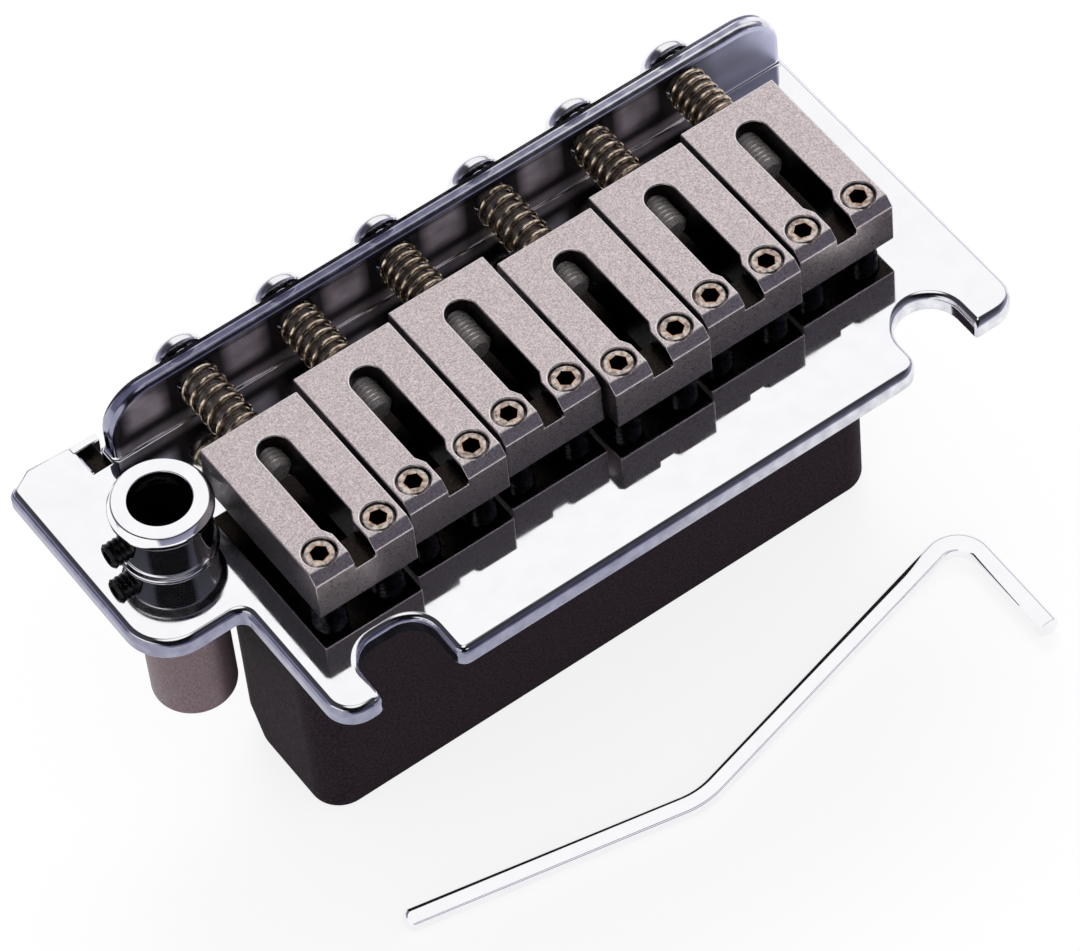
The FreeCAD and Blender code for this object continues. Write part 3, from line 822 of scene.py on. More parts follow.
@dataclass
class BentPlate:
    """Chromed base plate with its rear flange."""

    round_width: float = 0.3 * MM
    round_steps: int = 4
    top: float = 36.0 * MM
    bend_rise: float = 0.4 * MM
    flange_front: float = 14.7 * MM
    flange_rear: float = 16.45 * MM
    roll_foot: float = 4.0 * MM
    roll_drop: float = 0.28 * MM
    tab_shoulder: float = -41.7 * MM
    tab_rear: float = 17.85 * MM
    tab_right: float = -36.8 * MM
    tab_swell: float = 0.75 * MM
    touch: float = 0.06 * MM
    hole_reach: float = 32.0 * MM
    hole_band: Range = (-3.0 * MM, 3.6 * MM)
    brow_turn: float = 0.75
    rim_turn: float = 0.8
    relief_lip: tuple[Spot, Spot] = (
        (-37.7 * MM, 17.9 * MM, 34.02 * MM),
        (-34.9 * MM, 18.7 * MM, 35.99 * MM),
    )
    # A dark brick of painted shade under the bend's relief.
    relief_shade_floor: tuple[Spot, Spot] = (
        (-37.2 * MM, 14.9 * MM, 34.02 * MM),
        (-35.3 * MM, 18.2 * MM, 34.9 * MM),
    )

    def shape(self, bm: BMesh) -> None:
        """Let the flange's top fall away to the rear, and swell the tab's rear edge.

        Args:
            bm: The plate's mesh.
        """
        everything = bm.verts[:] + bm.edges[:] + bm.faces[:]
        shoulder = (self.tab_shoulder, 0, 0)
        bmesh.ops.bisect_plane(bm, geom=everything, plane_co=shoulder, plane_no=X_WAY)
        crest = max(vert.co.z for vert in bm.verts)
        for vert in bm.verts:
            share = 1 - (crest - vert.co.z) / self.roll_foot
            if share > 0 and abs(vert.co.y - self.flange_rear) < self.touch:
                vert.co.z -= self.roll_drop * share
            on_tab = self.tab_shoulder - self.touch < vert.co.x < self.tab_right
            if on_tab and vert.co.y > self.tab_rear:
                vert.co.y += self.tab_swell

    def edges(self, bm: BMesh) -> list[BMEdge]:
        """Edges to round: all but the rims of the string holes.

        Args:
            bm: The plate's mesh.

        Returns:
            The edges.
        """
        low, high = self.hole_band
        rounded = []
        for edge in sharp_edges(bm):
            middle = (edge.verts[0].co + edge.verts[1].co) / 2
            if abs(middle.x) > self.hole_reach or not low < middle.y < high:
                rounded.append(edge)
        return rounded

    def dress(self, bm: BMesh) -> None:
        """Give the rims their painted reflection, and the flange's hidden side its painted shade and
        painted reflections.

        Args:
            bm: The plate's mesh.
        """
        for face in bm.faces:
            spot, way = face.calc_center_median(), face.normal
            back = spot.y > self.flange_front and spot.z > self.top + self.bend_rise
            outer = spot.y < 0 or abs(spot.x) > self.hole_reach
            brow = outer and not back and spot.z < self.top and abs(way.z) < self.brow_turn
            # rims get the painted reflection; the flange's inner face gets painted shade and painted
            # reflections
            if brow or (back and abs(way.y) < self.rim_turn):
                face.material_index = PlateSkin.RIM
            elif back and way.y < 0:
                face.material_index = PlateSkin.PAINTED_REFLECTION

    def add_brick(self, bm: BMesh, corners: tuple[Spot, Spot], skin: PlateSkin) -> None:
        """Add a small brick.

        Args:
            bm: The mesh.
            corners: Its lowest and highest corners.
            skin: Its finish.
        """
        low, high = (Vector(corner) for corner in corners)
        place = Matrix.Translation((low + high) / 2) @ Matrix.Diagonal((*(high - low), 1))
        spots = bmesh.ops.create_cube(bm, size=1.0, matrix=place)["verts"]
        for vert in spots:
            for face in vert.link_faces:
                face.material_index = skin
        soften(bm, edges_of(spots), self.round_width / 2, self.round_steps)

    def build(self, *finishes: Material) -> None:
        """Make the plate with rounded edges, and close the bend's relief behind, and below with a dark
        brick of painted shade.

        Args:
            finishes: Its finishes, in the order of PlateSkin.
        """
        bm = cad_copy("base_plate")
        self.shape(bm)
        soften(bm, self.edges(bm), self.round_width, self.round_steps)
        refill(bm)
        self.dress(bm)
        self.add_brick(bm, self.relief_lip, PlateSkin.CHROME)
        # dark brick of painted shade, so the relief hole reads black
        self.add_brick(bm, self.relief_shade_floor, PlateSkin.CUT)
        Fitting("frame", "base_plate", Slot.PLATE).ride(
            bm, "bent_plate", *finishes, crease=BROAD_CREASE, weighted=True
        )


@dataclass
class Block:
    """Black sustain block."""

    round_width: float = 0.45 * MM
    round_steps: int = 3

    def build(self, coat: Material) -> None:
        """Make the block with rounded edges.

        Args:
            coat: Its finish.
        """
        bm = cad_copy("sustain_block")
        soften(bm, sharp_edges(bm), self.round_width, self.round_steps)
        refill(bm)
        Fitting("frame", "sustain_block", Slot.BLOCK).ride(
            bm, "cast_block", coat, crease=BROAD_CREASE, weighted=True
        )


@dataclass
class Saddle:
    """Block saddle of one string."""

    string: int
    round_width: float = 0.14 * MM
    round_steps: int = 2
    slot_half: float = 1.6 * MM
    skin: float = 0.2 * MM
    square_turn: float = 0.9
    chamfer_turn: float = 0.5
    side_turn: float = 0.8
    # rims that get the painted highlight
    highlight_band: Range = (0.2, 0.95)
    highlight_turn: float = 0.3

    def dress(self, bm: BMesh, low: Vector, high: Vector) -> None:
        """Paint shade into the slot, the groove and the underside, paint the left sides darker, and
        paint a highlight along the top's edges.

        Args:
            bm: The saddle's mesh.
            low: Its lowest corner.
            high: Its highest corner.
        """
        middle = (low.x + high.x) / 2
        least, most = self.highlight_band
        for face in bm.faces:
            spot, way = face.calc_center_median(), face.normal
            inside = abs(spot.x - middle) < self.slot_half and spot.z < high.z - self.skin
            depth = min(spot.y - low.y, high.y - spot.y)
            outer = depth < self.skin and abs(way.y) > self.square_turn
            chamfer = way.y < -self.chamfer_turn and way.z > self.chamfer_turn
            rim = least < way.z < most and spot.z > high.z - self.round_width
            # painted shade in the slot, the groove and under the saddle
            if (inside and not outer and not chamfer) or way.z < -self.square_turn:
                face.material_index = SaddleSkin.CUT
            # painted shade on the left sides
            elif way.x < -self.side_turn:
                face.material_index = SaddleSkin.SIDE
            # painted highlight on the top's rims, except on the left
            elif rim and way.x > -self.highlight_turn:
                face.material_index = SaddleSkin.PAINTED_HIGHLIGHT

    def build(self, *finishes: Material) -> None:
        """Make the saddle with broken edges.

        Args:
            finishes: Its finishes, in the order of SaddleSkin.
        """
        node = f"saddle_{self.string}"
        bm = cad_copy(node)
        soften(bm, sharp_edges(bm), self.round_width, self.round_steps)
        refill(bm)
        self.dress(bm, *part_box(node))
        Fitting(node, node, Slot.SADDLE).ride(
            bm, f"saddle_block_{self.string}", *finishes, crease=BROAD_CREASE, weighted=True
        )


@dataclass(frozen=True)
class Thread:
    """A screw's thread, drawn as rings."""

    radius: float
    depth: float = 0.2 * MM
    pitch: float = 0.5 * MM
    crest: Range = (0.42, 0.58)

    @property
    def root(self) -> float:
        """Radius between two crests."""
        return self.radius - self.depth

    def corners(self, start: float, turns: int) -> list[tuple[float, float]]:
        """Half section of the thread, from root to root.

        Args:
            start: Height where it starts.
            turns: Number of turns.

        Returns:
            Radius and height of each corner.
        """
        corners = [(self.root, start)]
        for turn in range(turns):
            low = start + self.pitch * turn
            corners.extend((self.radius, low + self.pitch * share) for share in self.crest)
            corners.append((self.root, low + self.pitch))
        return corners


@dataclass
class IntonationScrew:
    """Domed screw through the flange into a saddle."""

    string: int
    thread: Thread = Thread(radius=1.45 * MM)
    tip_share: float = 0.8
    tip_turn: float = 0.5
    plain_length: float = 2.6 * MM
    shank_length: float = 2.2 * MM
    shank_share: float = 0.94
    head_radius: float = 2.75 * MM
    head_height: float = 2.0 * MM
    head_bevel: float = 0.12 * MM
    head_skirt: float = 0.45 * MM
    cross_reach: float = 1.25 * MM
    cross_half: float = 0.3 * MM
    cross_depth: float = 1.0 * MM
    cross_taper: float = 0.55
    cross_level: float = 0.97
    # painted shade reaches this share of the head down into the recess; the tip stays unshaded for this
    # length
    shade_level: float = 0.8
    unshaded_tip: float = 6.0 * MM
    steps: int = 48
    dome_steps: int = 10

    def cross(self) -> Corners:
        """Outline of the cross recess.

        Returns:
            Its corners in order.
        """
        reach, half = self.cross_reach, self.cross_half
        corners = []
        for quarter in range(4):
            turn = Matrix.Rotation(math.pi / 2 * quarter, 2)
            for spot in ((half, -reach), (half, -half), (reach, -half)):
                corners.append(tuple(turn @ Vector(spot)))
        return corners

    def profile(self, length: float) -> Corners:
        """Half section from the screw's tip to the top of its dome.

        Args:
            length: Length under the head.

        Returns:
            Radius and height of each corner, the head's seat at height 0.
        """
        thread = self.thread
        turns = int((length - self.plain_length) / thread.pitch)
        shank = thread.radius * self.shank_share
        corners = [(0.0, -length), (thread.root * self.tip_share, -length)]
        corners += thread.corners(thread.pitch * self.tip_turn - length, turns)
        corners += [(shank, -self.shank_length), (shank, 0.0)]
        corners += [(self.head_radius - self.head_bevel, 0.0), (self.head_radius, self.head_bevel)]
        crown = math.acos((self.cross_reach + self.cross_half) / self.head_radius)
        rise = self.head_height - self.head_skirt
        for step in range(self.dome_steps + 1):
            angle = crown * step / self.dome_steps
            height = self.head_skirt + rise * math.sin(angle)
            corners.append((self.head_radius * math.cos(angle), height))
        return corners

    def dress(self, bm: BMesh, tip: float) -> None:
        """Darken the shaft and the recess with painted shade, and leave the tip unshaded.

        Args:
            bm: The screw's mesh, its head's seat at height 0.
            tip: Height of its tip.
        """
        mouth = self.head_height * self.shade_level
        for face in bm.faces:
            spot = face.calc_center_median()
            # painted shade on the shaft inside the spring and in the cross recess
            recess = spot.z < mouth and spot.xy.length < self.cross_reach
            if spot.z < tip + self.unshaded_tip:
                face.material_index = ScrewSkin.TIP
            elif spot.z < -MERGE or recess:
                face.material_index = ScrewSkin.SHADED_SHAFT

    def build(self, *finishes: Material) -> None:
        """Make the screw on its axis behind the flange.

        Args:
            finishes: Its finishes, in the order of ScrewSkin.
        """
        node = f"intonation_screw_{self.string}"
        low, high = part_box(node)
        seat = high.y - self.head_height
        level = self.head_height * self.cross_level
        bm = bmesh.new()
        lathe(bm, self.profile(seat - low.y), self.steps)
        sink_drive(bm, self.cross(), level, self.cross_depth, self.cross_taper)
        self.dress(bm, low.y - seat)
        place = Matrix.Translation(((low.x + high.x) / 2, seat, (low.z + high.z) / 2))
        turned = Matrix.Rotation(-math.pi / 2, 4, X_WAY)
        bmesh.ops.transform(bm, matrix=place @ turned, verts=bm.verts[:])
        Fitting(f"screw_{self.string}", node, Slot.SCREW).ride(
            bm, f"domed_screw_{self.string}", *finishes
        )


@dataclass
class IntonationSpring:
    """Compression spring between the flange and a saddle."""

    string: int
    turns: int = 6
    wire: float = 0.56 * MM
    outer: float = 4.2 * MM
    wire_sides: int = 14
    turn_steps: int = 40

    def build(self, steel: Material) -> None:
        """Wind the spring where its CAD node lies.

        Args:
            steel: Its finish.
        """
        node = f"intonation_spring_{self.string}"
        low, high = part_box(node)
        centre = Vector(((low.x + high.x) / 2, low.y + self.wire / 2, (low.z + high.z) / 2))
        radius = (self.outer - self.wire) / 2
        rise = high.y - low.y - self.wire
        steps = self.turns * self.turn_steps
        bm = bmesh.new()
        ring = bmesh.ops.create_circle(
            bm,
            segments=self.wire_sides,
            radius=self.wire / 2,
            matrix=Matrix.Translation(centre + X_WAY * radius),
        )["verts"]
        bmesh.ops.spin(
            bm,
            geom=ring + edges_of(ring),
            cent=centre,
            axis=Y_WAY,
            dvec=Y_WAY * (rise / steps),
            angle=math.tau * self.turns,
            steps=steps,
        )
        merge(bm)
        bmesh.ops.holes_fill(bm, edges=open_edges(bm))
        face_outwards(bm)
        piece = Fitting(f"saddle_{self.string}", node, Slot.SPRING).present(
            bm, f"wound_spring_{self.string}", steel
        )
        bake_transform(piece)


@dataclass
class SetScrew:
    """Socket set screw: a threaded rod with a hexagonal socket in its end."""

    thread: Thread = Thread(radius=1.5 * MM)
    socket: float = 1.5 * MM
    socket_depth: float = 0.9 * MM
    socket_rim: float = 1.12
    socket_wall: float = 0.95
    socket_level: float = 0.4
    foot_rise: float = 0.6
    foot_share: float = 0.72
    lip: float = 0.22 * MM
    steps: int = 48

    def profile(self, height: float, mouth: float) -> Corners:
        """Half section from the foot's middle to the socket's mouth.

        Args:
            height: Height of the screw.
            mouth: Radius of the flat ring's inner edge.

        Returns:
            Radius and height of each corner.
        """
        thread = self.thread
        foot = thread.pitch * self.foot_rise
        turns = int((height - self.lip - foot * 2) / thread.pitch)
        return [
            (0.0, 0.0),
            (thread.root * self.foot_share, 0.0),
            *thread.corners(foot, turns),
            (thread.radius, height - self.lip),
            (thread.radius - self.lip, height),
            (mouth, height),
        ]

    def mesh(self, height: float) -> BMesh:
        """The screw, standing on its foot on the Z axis, with its socket's walls in a second finish.

        Args:
            height: Height of the screw.

        Returns:
            The mesh.
        """
        corner = self.socket / math.sqrt(3)
        turns = [math.radians(60.0) * side for side in range(6)]
        hexagon = [(corner * math.cos(turn), corner * math.sin(turn)) for turn in turns]
        bm = bmesh.new()
        lathe(bm, self.profile(height, corner * self.socket_rim), self.steps)
        sink_drive(bm, hexagon, height, self.socket_depth, taper=1.0)
        for face in bm.faces:
            spot = face.calc_center_median()
            inside = spot.xy.length < corner * self.socket_wall
            face.material_index = int(inside and spot.z > height * self.socket_level)
        return bm


@dataclass
class HeightScrew:
    """One of the two set screws that a saddle stands on."""

    string: int
    side: Side
    screw: SetScrew
    string_turn: float = 17.0
    side_turn: float = 31.0

    def build(self, *finishes: Material) -> None:
        """Stand the screw in its saddle, each turned a little further than the last.

        Args:
            finishes: Its finish and its socket's.
        """
        name = f"{self.string}{self.side.value}"
        node = f"height_screw_{name}"
        low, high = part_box(node)
        bm = self.screw.mesh(high.z - low.z)
        degrees = self.string_turn * self.string + self.side_turn * list(Side).index(self.side)
        turned = Matrix.Rotation(math.radians(degrees), 4, Z_WAY)
        place = Matrix.Translation(((low.x + high.x) / 2, (low.y + high.y) / 2, low.z))
        bmesh.ops.transform(bm, matrix=place @ turned, verts=bm.verts[:])
        Fitting(f"height_{name}", node, Slot.SET_SCREW).ride(bm, f"set_screw_{name}", *finishes)


@dataclass
class TensionScrew:
    """Set screw in the collar's side that grips the arm's sleeve."""

    screw: SetScrew

    def build(self, *finishes: Material) -> None:
        """Lay the screw on its side in the collar.

        Args:
            finishes: Its finish and its socket's.
        """
        low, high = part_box("tension_screw")
        bm = self.screw.mesh(high.x - low.x)
        laid = Matrix.Rotation(-math.pi / 2, 4, Y_WAY)
        place = Matrix.Translation((high.x, (low.y + high.y) / 2, (low.z + high.z) / 2))
        bmesh.ops.transform(bm, matrix=place @ laid, verts=bm.verts[:])
        Fitting("frame", "tension_screw", Slot.SET_SCREW).ride(bm, "collar_set_screw", *finishes)


@dataclass
class ArmSocket:
    """Chrome collar, barrel and bush that hold the arm."""

    steps: int = 96
    ring_turn: float = math.radians(25.0)
    round_width: float = 0.1 * MM
    round_steps: int = 4
    neck: float = 3.5 * MM
    bore: float = 2.85 * MM
    lip: float = 1.6 * MM
    foot: float = 4.5 * MM
    foot_height: float = 0.32 * MM
    foot_bevel: float = 0.12 * MM
    waist: float = 4.1 * MM
    bead: float = 4.65 * MM
    bead_rise: float = 0.6 * MM
    shoulder: float = 0.6 * MM
    crest: float = 4.25 * MM
    under_turn: float = 0.3
    plate_level: float = 34.0 * MM
    barrel_neck: float = 3.45 * MM
    barrel_bore: float = 2.95 * MM
    barrel_round: float = 0.35 * MM
    bush_bore: float = 1.15 * MM
    bush_round: float = 0.2 * MM

    def turned(self, node: str, profile: Corners, rounding: float) -> BMesh:
        """A ring turned on a node's own axis, with rounded edges.

        Args:
            node: The CAD node that it stands for.
            profile: Closed half section, its heights from the node's lowest point.
            rounding: Width of the rounded edges.

        Returns:
            The mesh.
        """
        low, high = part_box(node)
        bm = bmesh.new()
        lathe(bm, profile, self.steps, closed=True)
        rings = []
        for edge in sharp_edges(bm, self.ring_turn):
            one, other = edge.verts
            if abs(one.co.z - other.co.z) < MERGE:
                rings.append(edge)
        soften(bm, rings, rounding, self.round_steps)
        place = Matrix.Translation(((low.x + high.x) / 2, (low.y + high.y) / 2, low.z))
        bmesh.ops.transform(bm, matrix=place, verts=bm.verts[:])
        face_outwards(bm)
        if bm.calc_volume(signed=True) < 0:
            bmesh.ops.reverse_faces(bm, faces=bm.faces[:])
        return bm

    def build_collar(self, *finishes: Material) -> None:
        """Make the collar, with painted shade on its underside.

        Args:
            finishes: Its chrome and the painted shade of its underside.
        """
        low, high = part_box("arm_collar")
        top = high.z - low.z
        bead_foot = top - self.bead_rise - self.shoulder
        profile = [
            (self.neck, 0.0),
            (self.foot, 0.0),
            (self.foot, self.foot_height - self.foot_bevel),
            (self.foot - self.foot_bevel, self.foot_height),
            (self.waist, self.foot_height),
            (self.waist, bead_foot - self.shoulder),
            (self.bead, bead_foot),
            (self.bead, top - self.shoulder),
            (self.crest, top),
            (self.bore, top),
            (self.bore, top - self.lip),
            (self.neck, top - self.lip),
        ]
        bm = self.turned("arm_collar", profile, self.round_width)
        # painted shade on faces that look downwards
        for face in bm.faces:
            face.material_index = int(face.normal.z < -self.under_turn)
        Fitting("frame", "arm_collar", Slot.PLATE).ride(
            bm, "socket_collar", *finishes, crease=BROAD_CREASE
        )

    def build_barrel(self, satin: Material) -> None:
        """Make the barrel below the plate, with a neck that fits the collar.

        Args:
            satin: Its finish.
        """
        low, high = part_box("socket_sleeve")
        top, under, outside = high.z - low.z, self.plate_level - low.z, (high.x - low.x) / 2
        profile = [
            (self.barrel_bore, 0.0),
            (outside, 0.0),
            (outside, under),
            (self.barrel_neck, under),
            (self.barrel_neck, top),
            (self.barrel_bore, top),
        ]
        bm = self.turned("socket_sleeve", profile, self.barrel_round)
        Fitting("frame", "socket_sleeve", Slot.SLEEVE).ride(
            bm, "socket_barrel", satin, crease=BROAD_CREASE
        )

    def build_bush(self, plastic: Material) -> None:
        """Make the bush that the arm turns in.

        Args:
            plastic: Its finish.
        """
        low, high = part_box("arm_bush")
        top, outside, inside = high.z - low.z, (high.x - low.x) / 2, self.bush_bore
        profile = [(inside, 0.0), (outside, 0.0), (outside, top), (inside, top)]
        bm = self.turned("arm_bush", profile, self.bush_round)
        Fitting("frame", "arm_bush", Slot.BUSH).ride(
            bm, "socket_bush", plastic, crease=BROAD_CREASE
        )


@dataclass(frozen=True)
class Bend:
    """A bend of the arm: its angle and radius, and the number of faces along it."""

    angle: float
    radius: float
    steps: int


@dataclass
class Arm:
    """Bent chrome rod that lies apart in front of the bridge."""

    radius: float = 1.1 * MM
    tip: tuple[float, float] = (-32.1 * MM, -19.4 * MM)
    heading: float = math.radians(-11.8)
    handle: float = 27.1 * MM
    elbow: Bend = Bend(angle=math.radians(26.1), radius=8.0 * MM, steps=24)
    shaft: float = 32.0 * MM
    crook: Bend = Bend(angle=math.radians(-105.5), radius=2.6 * MM, steps=48)
    stub: float = 10.3 * MM
    sides: int = 48
    end_turn: float = math.radians(60.0)
    tip_round: float = 0.75 * MM
    tip_steps: int = 8
    end_round: float = 0.22 * MM
    end_steps: int = 3
    crease: float = 40.0

    def draw(self, bm: BMesh, rim: list[BMEdge], way: Vector) -> list[BMEdge]:
        """Draw the rod straight on from its open end.

        Args:
            bm: The rod's mesh.
            rim: Edges of its end.
            way: Direction and length of the run.

        Returns:
            Edges of the new end.
        """
        drawn = bmesh.ops.extrude_edge_only(bm, edges=rim)["geom"]
        verts = [item for item in drawn if isinstance(item, BMVert)]
        bmesh.ops.translate(bm, verts=verts, vec=way)
        return [item for item in drawn if isinstance(item, BMEdge) and item.is_boundary]

    def turn(self, bm: BMesh, rim: list[BMEdge], centre: Vector, bend: Bend) -> list[BMEdge]:
        """Turn the rod's open end about the centre of a bend.

        Args:
            bm: The rod's mesh.
            rim: Edges of its end.
            centre: Centre of the bend.
            bend: The bend.

        Returns:
            Edges of the new end.
        """
        bmesh.ops.spin(
            bm,
            geom=list({vert for edge in rim for vert in edge.verts}) + rim,
            cent=centre,
            axis=Z_WAY,
            dvec=(0, 0, 0),
            angle=bend.angle,
            steps=bend.steps,
        )
        merge(bm)
        return open_edges(bm)

    def build(self, chrome: Material) -> None:
        """Draw the rod out from its tip, round its two bends, to its stub.

        Args:
            chrome: Its finish.
        """
        bm = bmesh.new()
        spot = Vector((*self.tip, self.radius))
        way = Vector((math.cos(self.heading), math.sin(self.heading), 0))
        stand = Matrix.Translation(spot) @ way.to_track_quat("Z", "X").to_matrix().to_4x4()
        tip = bmesh.ops.create_circle(
            bm, cap_ends=True, segments=self.sides, radius=self.radius, matrix=stand
        )["verts"]
        rim = edges_of(tip)
        for run, bend in ((self.handle, self.elbow), (self.shaft, self.crook)):
            rim = self.draw(bm, rim, way * run)
            spot = spot + way * run
            centre = spot + Z_WAY.cross(way) * math.copysign(bend.radius, bend.angle)
            rim = self.turn(bm, rim, centre, bend)
            turned = Matrix.Rotation(bend.angle, 3, "Z")
            spot = centre + turned @ (spot - centre)
            way = turned @ way
        bmesh.ops.holes_fill(bm, edges=self.draw(bm, rim, way * self.stub))
        face_outwards(bm)
        ends = sharp_edges(bm, self.end_turn)
        near = 2 * self.radius
        first = [e for e in ends if (e.verts[0].co.xy - Vector(self.tip)).length < near]
        last = [e for e in ends if e not in first]
        soften(bm, first, self.tip_round, self.tip_steps)
        soften(bm, last, self.end_round, self.end_steps)
        Fitting("arm", "tremolo_arm", Slot.ARM).ride(bm, "bent_arm", chrome, crease=self.crease)


@dataclass(frozen=True)
class Face:
    """A face of the surround: the way to its middle, and the cosines between which its edge fades."""

    way: Spot
    edge: Range


@dataclass
class Studio:
    """White floor, soft surrounding light and the camera of the photograph."""

    position: Spot = (-0.168892, -0.283551, 0.469637)
    azimuth: float = math.radians(-30.514)
    elevation: float = math.radians(53.705)
    roll: float = math.radians(-6.414)
    focus: float = 6259.74
    image_width: float = 1080.0
    sensor: float = 36.0
    clip: Range = (0.01, 20.0)
    floor_side: float = 3.0
    floor_level: float = -0.02 * MM
    floor_grey: Colour = (0.9, 0.9, 0.9)
    floor_white: float = 0.8
    window: Face = Face((0.65, 0.55, 0.52), (0.70, 0.80))
    window_sill: Range = (0.10, 0.26)
    screen: Face = Face((-0.98, -0.18, 0.0), (0.72, 0.80))
    ceiling: Face = Face((0.0, 0.0, 1.0), (0.962, 0.985))
    tent: Face = Face((-0.30, -0.51, 0.81), (0.84, 0.90))
    tent_black: Colour = (0.004, 0.004, 0.005)
    dusk_levels: tuple[float, ...] = (-0.1, 0.05, 0.35, 0.55, 1.0)
    dusk_colours: tuple[Colour, ...] = (
        (0.40, 0.40, 0.50),
        (0.36, 0.36, 0.47),
        (0.20, 0.20, 0.28),
        (0.06, 0.06, 0.08),
        (0.03, 0.03, 0.035),
    )
    card_height: float = 11 * MM
    card_strips: tuple[Range, ...] = ((-46 * MM, -8 * MM), (-80 * MM, -56 * MM))
    card_half: float = 70 * MM
    flag: tuple[Spot, Spot] = (
        (-30.6 * MM, -19.6 * MM, 33.5 * MM),
        (-23.6 * MM, -13 * MM, 33.5 * MM),
    )
    flag_strength: float = 0.02
    lamp_spot: Spot = (0.24, 0.41, 0.66)
    lamp_aim: Spot = (0.0, 0.0, 0.03)
    lamp_size: float = 0.35
    lamp_power: float = 2.0

    def camera(self) -> None:
        """Stand the camera where the photograph was taken from."""
        away = math.cos(self.elevation)
        back = Vector(
            (
                math.sin(self.azimuth) * away,
                -math.cos(self.azimuth) * away,
                math.sin(self.elevation),
            )
        )
        across = (-back).cross(Z_WAY).normalized()
        upward = across.cross(-back)
        right = across * math.cos(self.roll) + upward * math.sin(self.roll)
        top = upward * math.cos(self.roll) - across * math.sin(self.roll)
        lens = bpy.data.cameras.new("view")
        lens.sensor_fit = "HORIZONTAL"
        lens.sensor_width = self.sensor
        lens.lens = self.focus / self.image_width * self.sensor
        lens.clip_start, lens.clip_end = self.clip
        view = bpy.data.objects.new("view", lens)
        turned = Matrix((right, top, back)).transposed().to_4x4()
        view.matrix_world = Matrix.Translation(self.position) @ turned
        bpy.context.scene.collection.objects.link(view)
        bpy.context.scene.camera = view

    def sheet(self, name: str, low: Spot, high: Spot, material: Material) -> Object:
        """A flat level sheet of the studio.

        Args:
            name: Its name.
            low: Its lowest corner.
            high: Its highest corner, at the same height.
            material: Its material.

        Returns:
            The sheet.
        """
        bm = bmesh.new()
        bmesh.ops.create_grid(bm, x_segments=1, y_segments=1, size=0.5)
        span = Vector(high) - Vector(low)
        middle = (Vector(high) + Vector(low)) / 2
        bmesh.ops.scale(bm, verts=bm.verts[:], vec=(span.x, span.y, 1))
        bmesh.ops.translate(bm, verts=bm.verts[:], vec=middle)
        mesh = bpy.data.meshes.new(name)
        bm.to_mesh(mesh)
        bm.free()
        mesh.materials.append(material)
        sheet = bpy.data.objects.new(name, mesh)
        bpy.context.scene.collection.objects.link(sheet)
        return sheet

    def floor(self) -> None:
        """Lay a white floor that keeps a trace of the object's shadow."""
        graph = Graph("white_floor")
        graph.feed(graph.shader, Base_Color=self.floor_grey, Roughness=1.0, Specular_IOR_Level=0.0)
        path = graph.node("LightPath").outputs
        seen = graph.most(path["Is Camera Ray"], path["Is Glossy Ray"], path["Is Transmission Ray"])
        mix = graph.node("MixShader")
        graph.feed(mix, Fac=graph.scale(seen, (0, 1), (0, self.floor_white)))
        graph.join(graph.shader.outputs[0], mix.inputs[1])
        graph.join(graph.node("Emission").outputs[0], mix.inputs[2])
        graph.join(mix.outputs[0], graph.surface)
        half, level = self.floor_side, self.floor_level
        self.sheet("floor", (-half, -half, level), (half, half, level), graph.material)

    def card(self, name: str, low: Spot, high: Spot, strength: float) -> None:
        """Hang a card that only polish sees.

        Args:
            name: Its name.
            low: Its lowest corner.
            high: Its highest corner, at the same height.
            strength: 1 for a white card, 0 for a black one.
        """
        graph = Graph(name)
        glow = graph.node("Emission")
        graph.feed(glow, Strength=strength)
        graph.join(glow.outputs[0], graph.surface)
        card = self.sheet(name, low, high, graph.material)
        card.visible_camera = False
        card.visible_diffuse = False
        card.visible_shadow = False

    def cards(self) -> None:
        """Hang white cards low over the arm, and a black one below the treble notch."""
        for index, (near, far) in enumerate(self.card_strips):
            low = (-self.card_half, near, self.card_height)
            high = (self.card_half, far, self.card_height)
            self.card(f"card_{index}", low, high, strength=1.0)
        self.card("flag", *self.flag, strength=self.flag_strength)

    def glimpse(self, wiring: Wiring, way: NodeSocket, face: Face) -> NodeSocket:
        """How much of a face of the surround lies in a direction.

        Args:
            wiring: Nodes of the surround.
            way: The direction.
            face: The face.

        Returns:
            1 on the face, 0 beside it.
        """
        dot = wiring.node("VectorMath", operation="DOT_PRODUCT")
        wiring.join(way, dot.inputs[0])
        dot.inputs[1].default_value = Vector(face.way).normalized()
        return wiring.scale(dot.outputs["Value"], face.edge, (0, 1))

    def surround(self) -> None:
        """Light from all round: in the polish, three white faces, the tent's dark mouth and dusk."""
        world = bpy.data.worlds.new("surround")
        bpy.context.scene.world = world
        world.use_nodes = True
        wiring = Wiring(world.node_tree)
        way = wiring.coordinates.outputs["Generated"]
        level = wiring.axis(way, "Z")
        sill = wiring.scale(level, self.window_sill, (0, 1))
        window = wiring.math("MULTIPLY", self.glimpse(wiring, way, self.window), sill)
        screen = self.glimpse(wiring, way, self.screen)
        ceiling = self.glimpse(wiring, way, self.ceiling)
        dusk = wiring.ramp(level, self.dusk_levels, self.dusk_colours)
        dark = wiring.mix(self.glimpse(wiring, way, self.tent), dusk, self.tent_black)
        lit = wiring.mix(wiring.most(window, screen, ceiling), dark, WHITE)
        glossy = wiring.node("LightPath").outputs["Is Glossy Ray"]
        wiring.feed(wiring.tree.nodes["Background"], Color=wiring.mix(glossy, WHITE, lit))

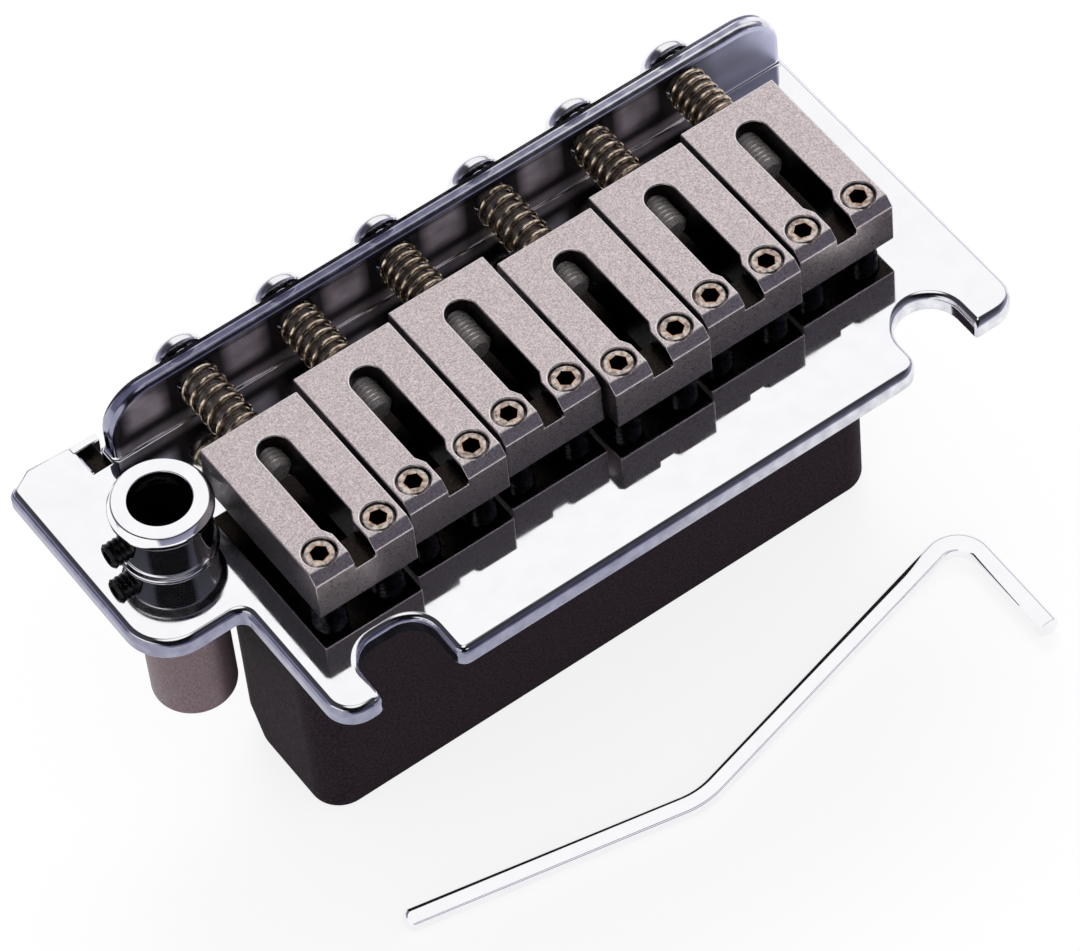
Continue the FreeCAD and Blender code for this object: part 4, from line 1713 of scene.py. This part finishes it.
    def lamp(self) -> None:
        """Hang a soft lamp that faces the object."""
        light = bpy.data.lights.new("key", "AREA")
        light.size = self.lamp_size
        light.energy = self.lamp_power
        lamp = bpy.data.objects.new("key", light)
        lamp.visible_glossy = False
        aim = Vector(self.lamp_aim) - Vector(self.lamp_spot)
        turned = aim.to_track_quat("-Z", "Y").to_matrix().to_4x4()
        lamp.matrix_world = Matrix.Translation(self.lamp_spot) @ turned
        bpy.context.scene.collection.objects.link(lamp)

    def build(self) -> None:
        """Set up the whole studio."""
        self.camera()
        self.floor()
        self.cards()
        self.surround()
        self.lamp()
        bpy.context.scene.view_settings.view_transform = "Standard"


def build_strings(painted_shade_steel: Material) -> None:
    """Build each string's saddle with its screws and its spring.

    Args:
        painted_shade_steel: Finish of the saddles' slots.
    """
    saddle_steel = BlastedSteel("saddle_steel").material()
    # Painted highlight for the rims along the saddles' tops.
    highlight_steel = BlastedSteel(
        "highlight_steel", ground=(0.82, 0.78, 0.77), fleck=(1.0, 0.97, 0.96)
    ).material()
    # Painted shade for the saddles' left sides.
    side_shade_steel = BlastedSteel(
        "side_shade_steel", ground=(0.13, 0.115, 0.125), fleck=(0.30, 0.265, 0.285)
    ).material()
    screw_chrome = Chrome(
        "screw_chrome", ground=(0.84, 0.83, 0.84), smooth=0.08, rough=0.2
    ).material()
    # Painted shade for the screws' shafts inside the springs and their cross recesses.
    shaft_shade_steel = BlastedSteel(
        "shaft_shade_steel", ground=(0.10, 0.085, 0.08), fleck=(0.30, 0.265, 0.25), metal=0.72
    ).material()
    tip_steel = BlastedSteel(
        "tip_steel", ground=(0.38, 0.34, 0.33), fleck=(0.80, 0.74, 0.73), metal=0.72
    ).material()
    spring_steel = DarkSteel(
        "spring_wire", ground=(0.20, 0.145, 0.10), fleck=(0.88, 0.74, 0.57), smooth=0.12, rough=0.22
    ).material()
    # Height screws with painted shade on their lower part.
    set_steel = LegShadeSteel("set_screw_steel").material()
    socket_steel = DarkSteel(
        "socket_steel", ground=(0.22, 0.13, 0.09), fleck=(0.60, 0.40, 0.30), metal=0.4
    ).material()
    for string in STRINGS:
        Saddle(string).build(saddle_steel, painted_shade_steel, highlight_steel, side_shade_steel)
        IntonationScrew(string).build(screw_chrome, shaft_shade_steel, tip_steel)
        IntonationSpring(string).build(spring_steel)
        for side in Side:
            HeightScrew(string, side, SetScrew()).build(set_steel, socket_steel)


def main() -> None:
    """Build every piece of the bridge and its studio, in order."""
    logging.basicConfig(level=logging.INFO, format="%(name)s: %(message)s")
    # Near-black painted shade for the saddles' slots, grooves and undersides, and for the floor under
    # the plate's relief.
    painted_shade_steel = BlastedSteel(
        "painted_shade_steel", ground=(0.010, 0.008, 0.007), fleck=(0.030, 0.023, 0.019)
    ).material()
    # Black steel: the collar's set screw's own colour, and painted shade on the collar's underside.
    black_steel_and_shade = DarkSteel(
        "black_steel_and_shade", ground=(0.008, 0.008, 0.009), fleck=(0.03, 0.028, 0.028)
    ).material()
    BentPlate().build(
        Chrome("plate_chrome").material(),
        RimReflectionPaint("rim_painted_reflection").material(),
        FlangeReflectionPaint("flange_painted_reflection").material(),
        painted_shade_steel,
    )
    Block().build(BlackCoat("block_coat").material())
    build_strings(painted_shade_steel)
    fine_thread = Thread(radius=1.2 * MM, depth=0.1 * MM)
    TensionScrew(SetScrew(fine_thread, socket=1.2 * MM, socket_depth=1.2 * MM)).build(
        black_steel_and_shade, black_steel_and_shade
    )
    socket = ArmSocket()
    socket.build_collar(Chrome("collar_chrome").material(), black_steel_and_shade)
    socket.build_barrel(SatinBrown("barrel_satin").material())
    socket.build_bush(DarkPlastic("bush_plastic").material())
    Arm().build(Chrome("arm_chrome", ground=(0.95, 0.95, 0.96)).material())
    Studio().build()


if __name__ == "__main__":
    main()
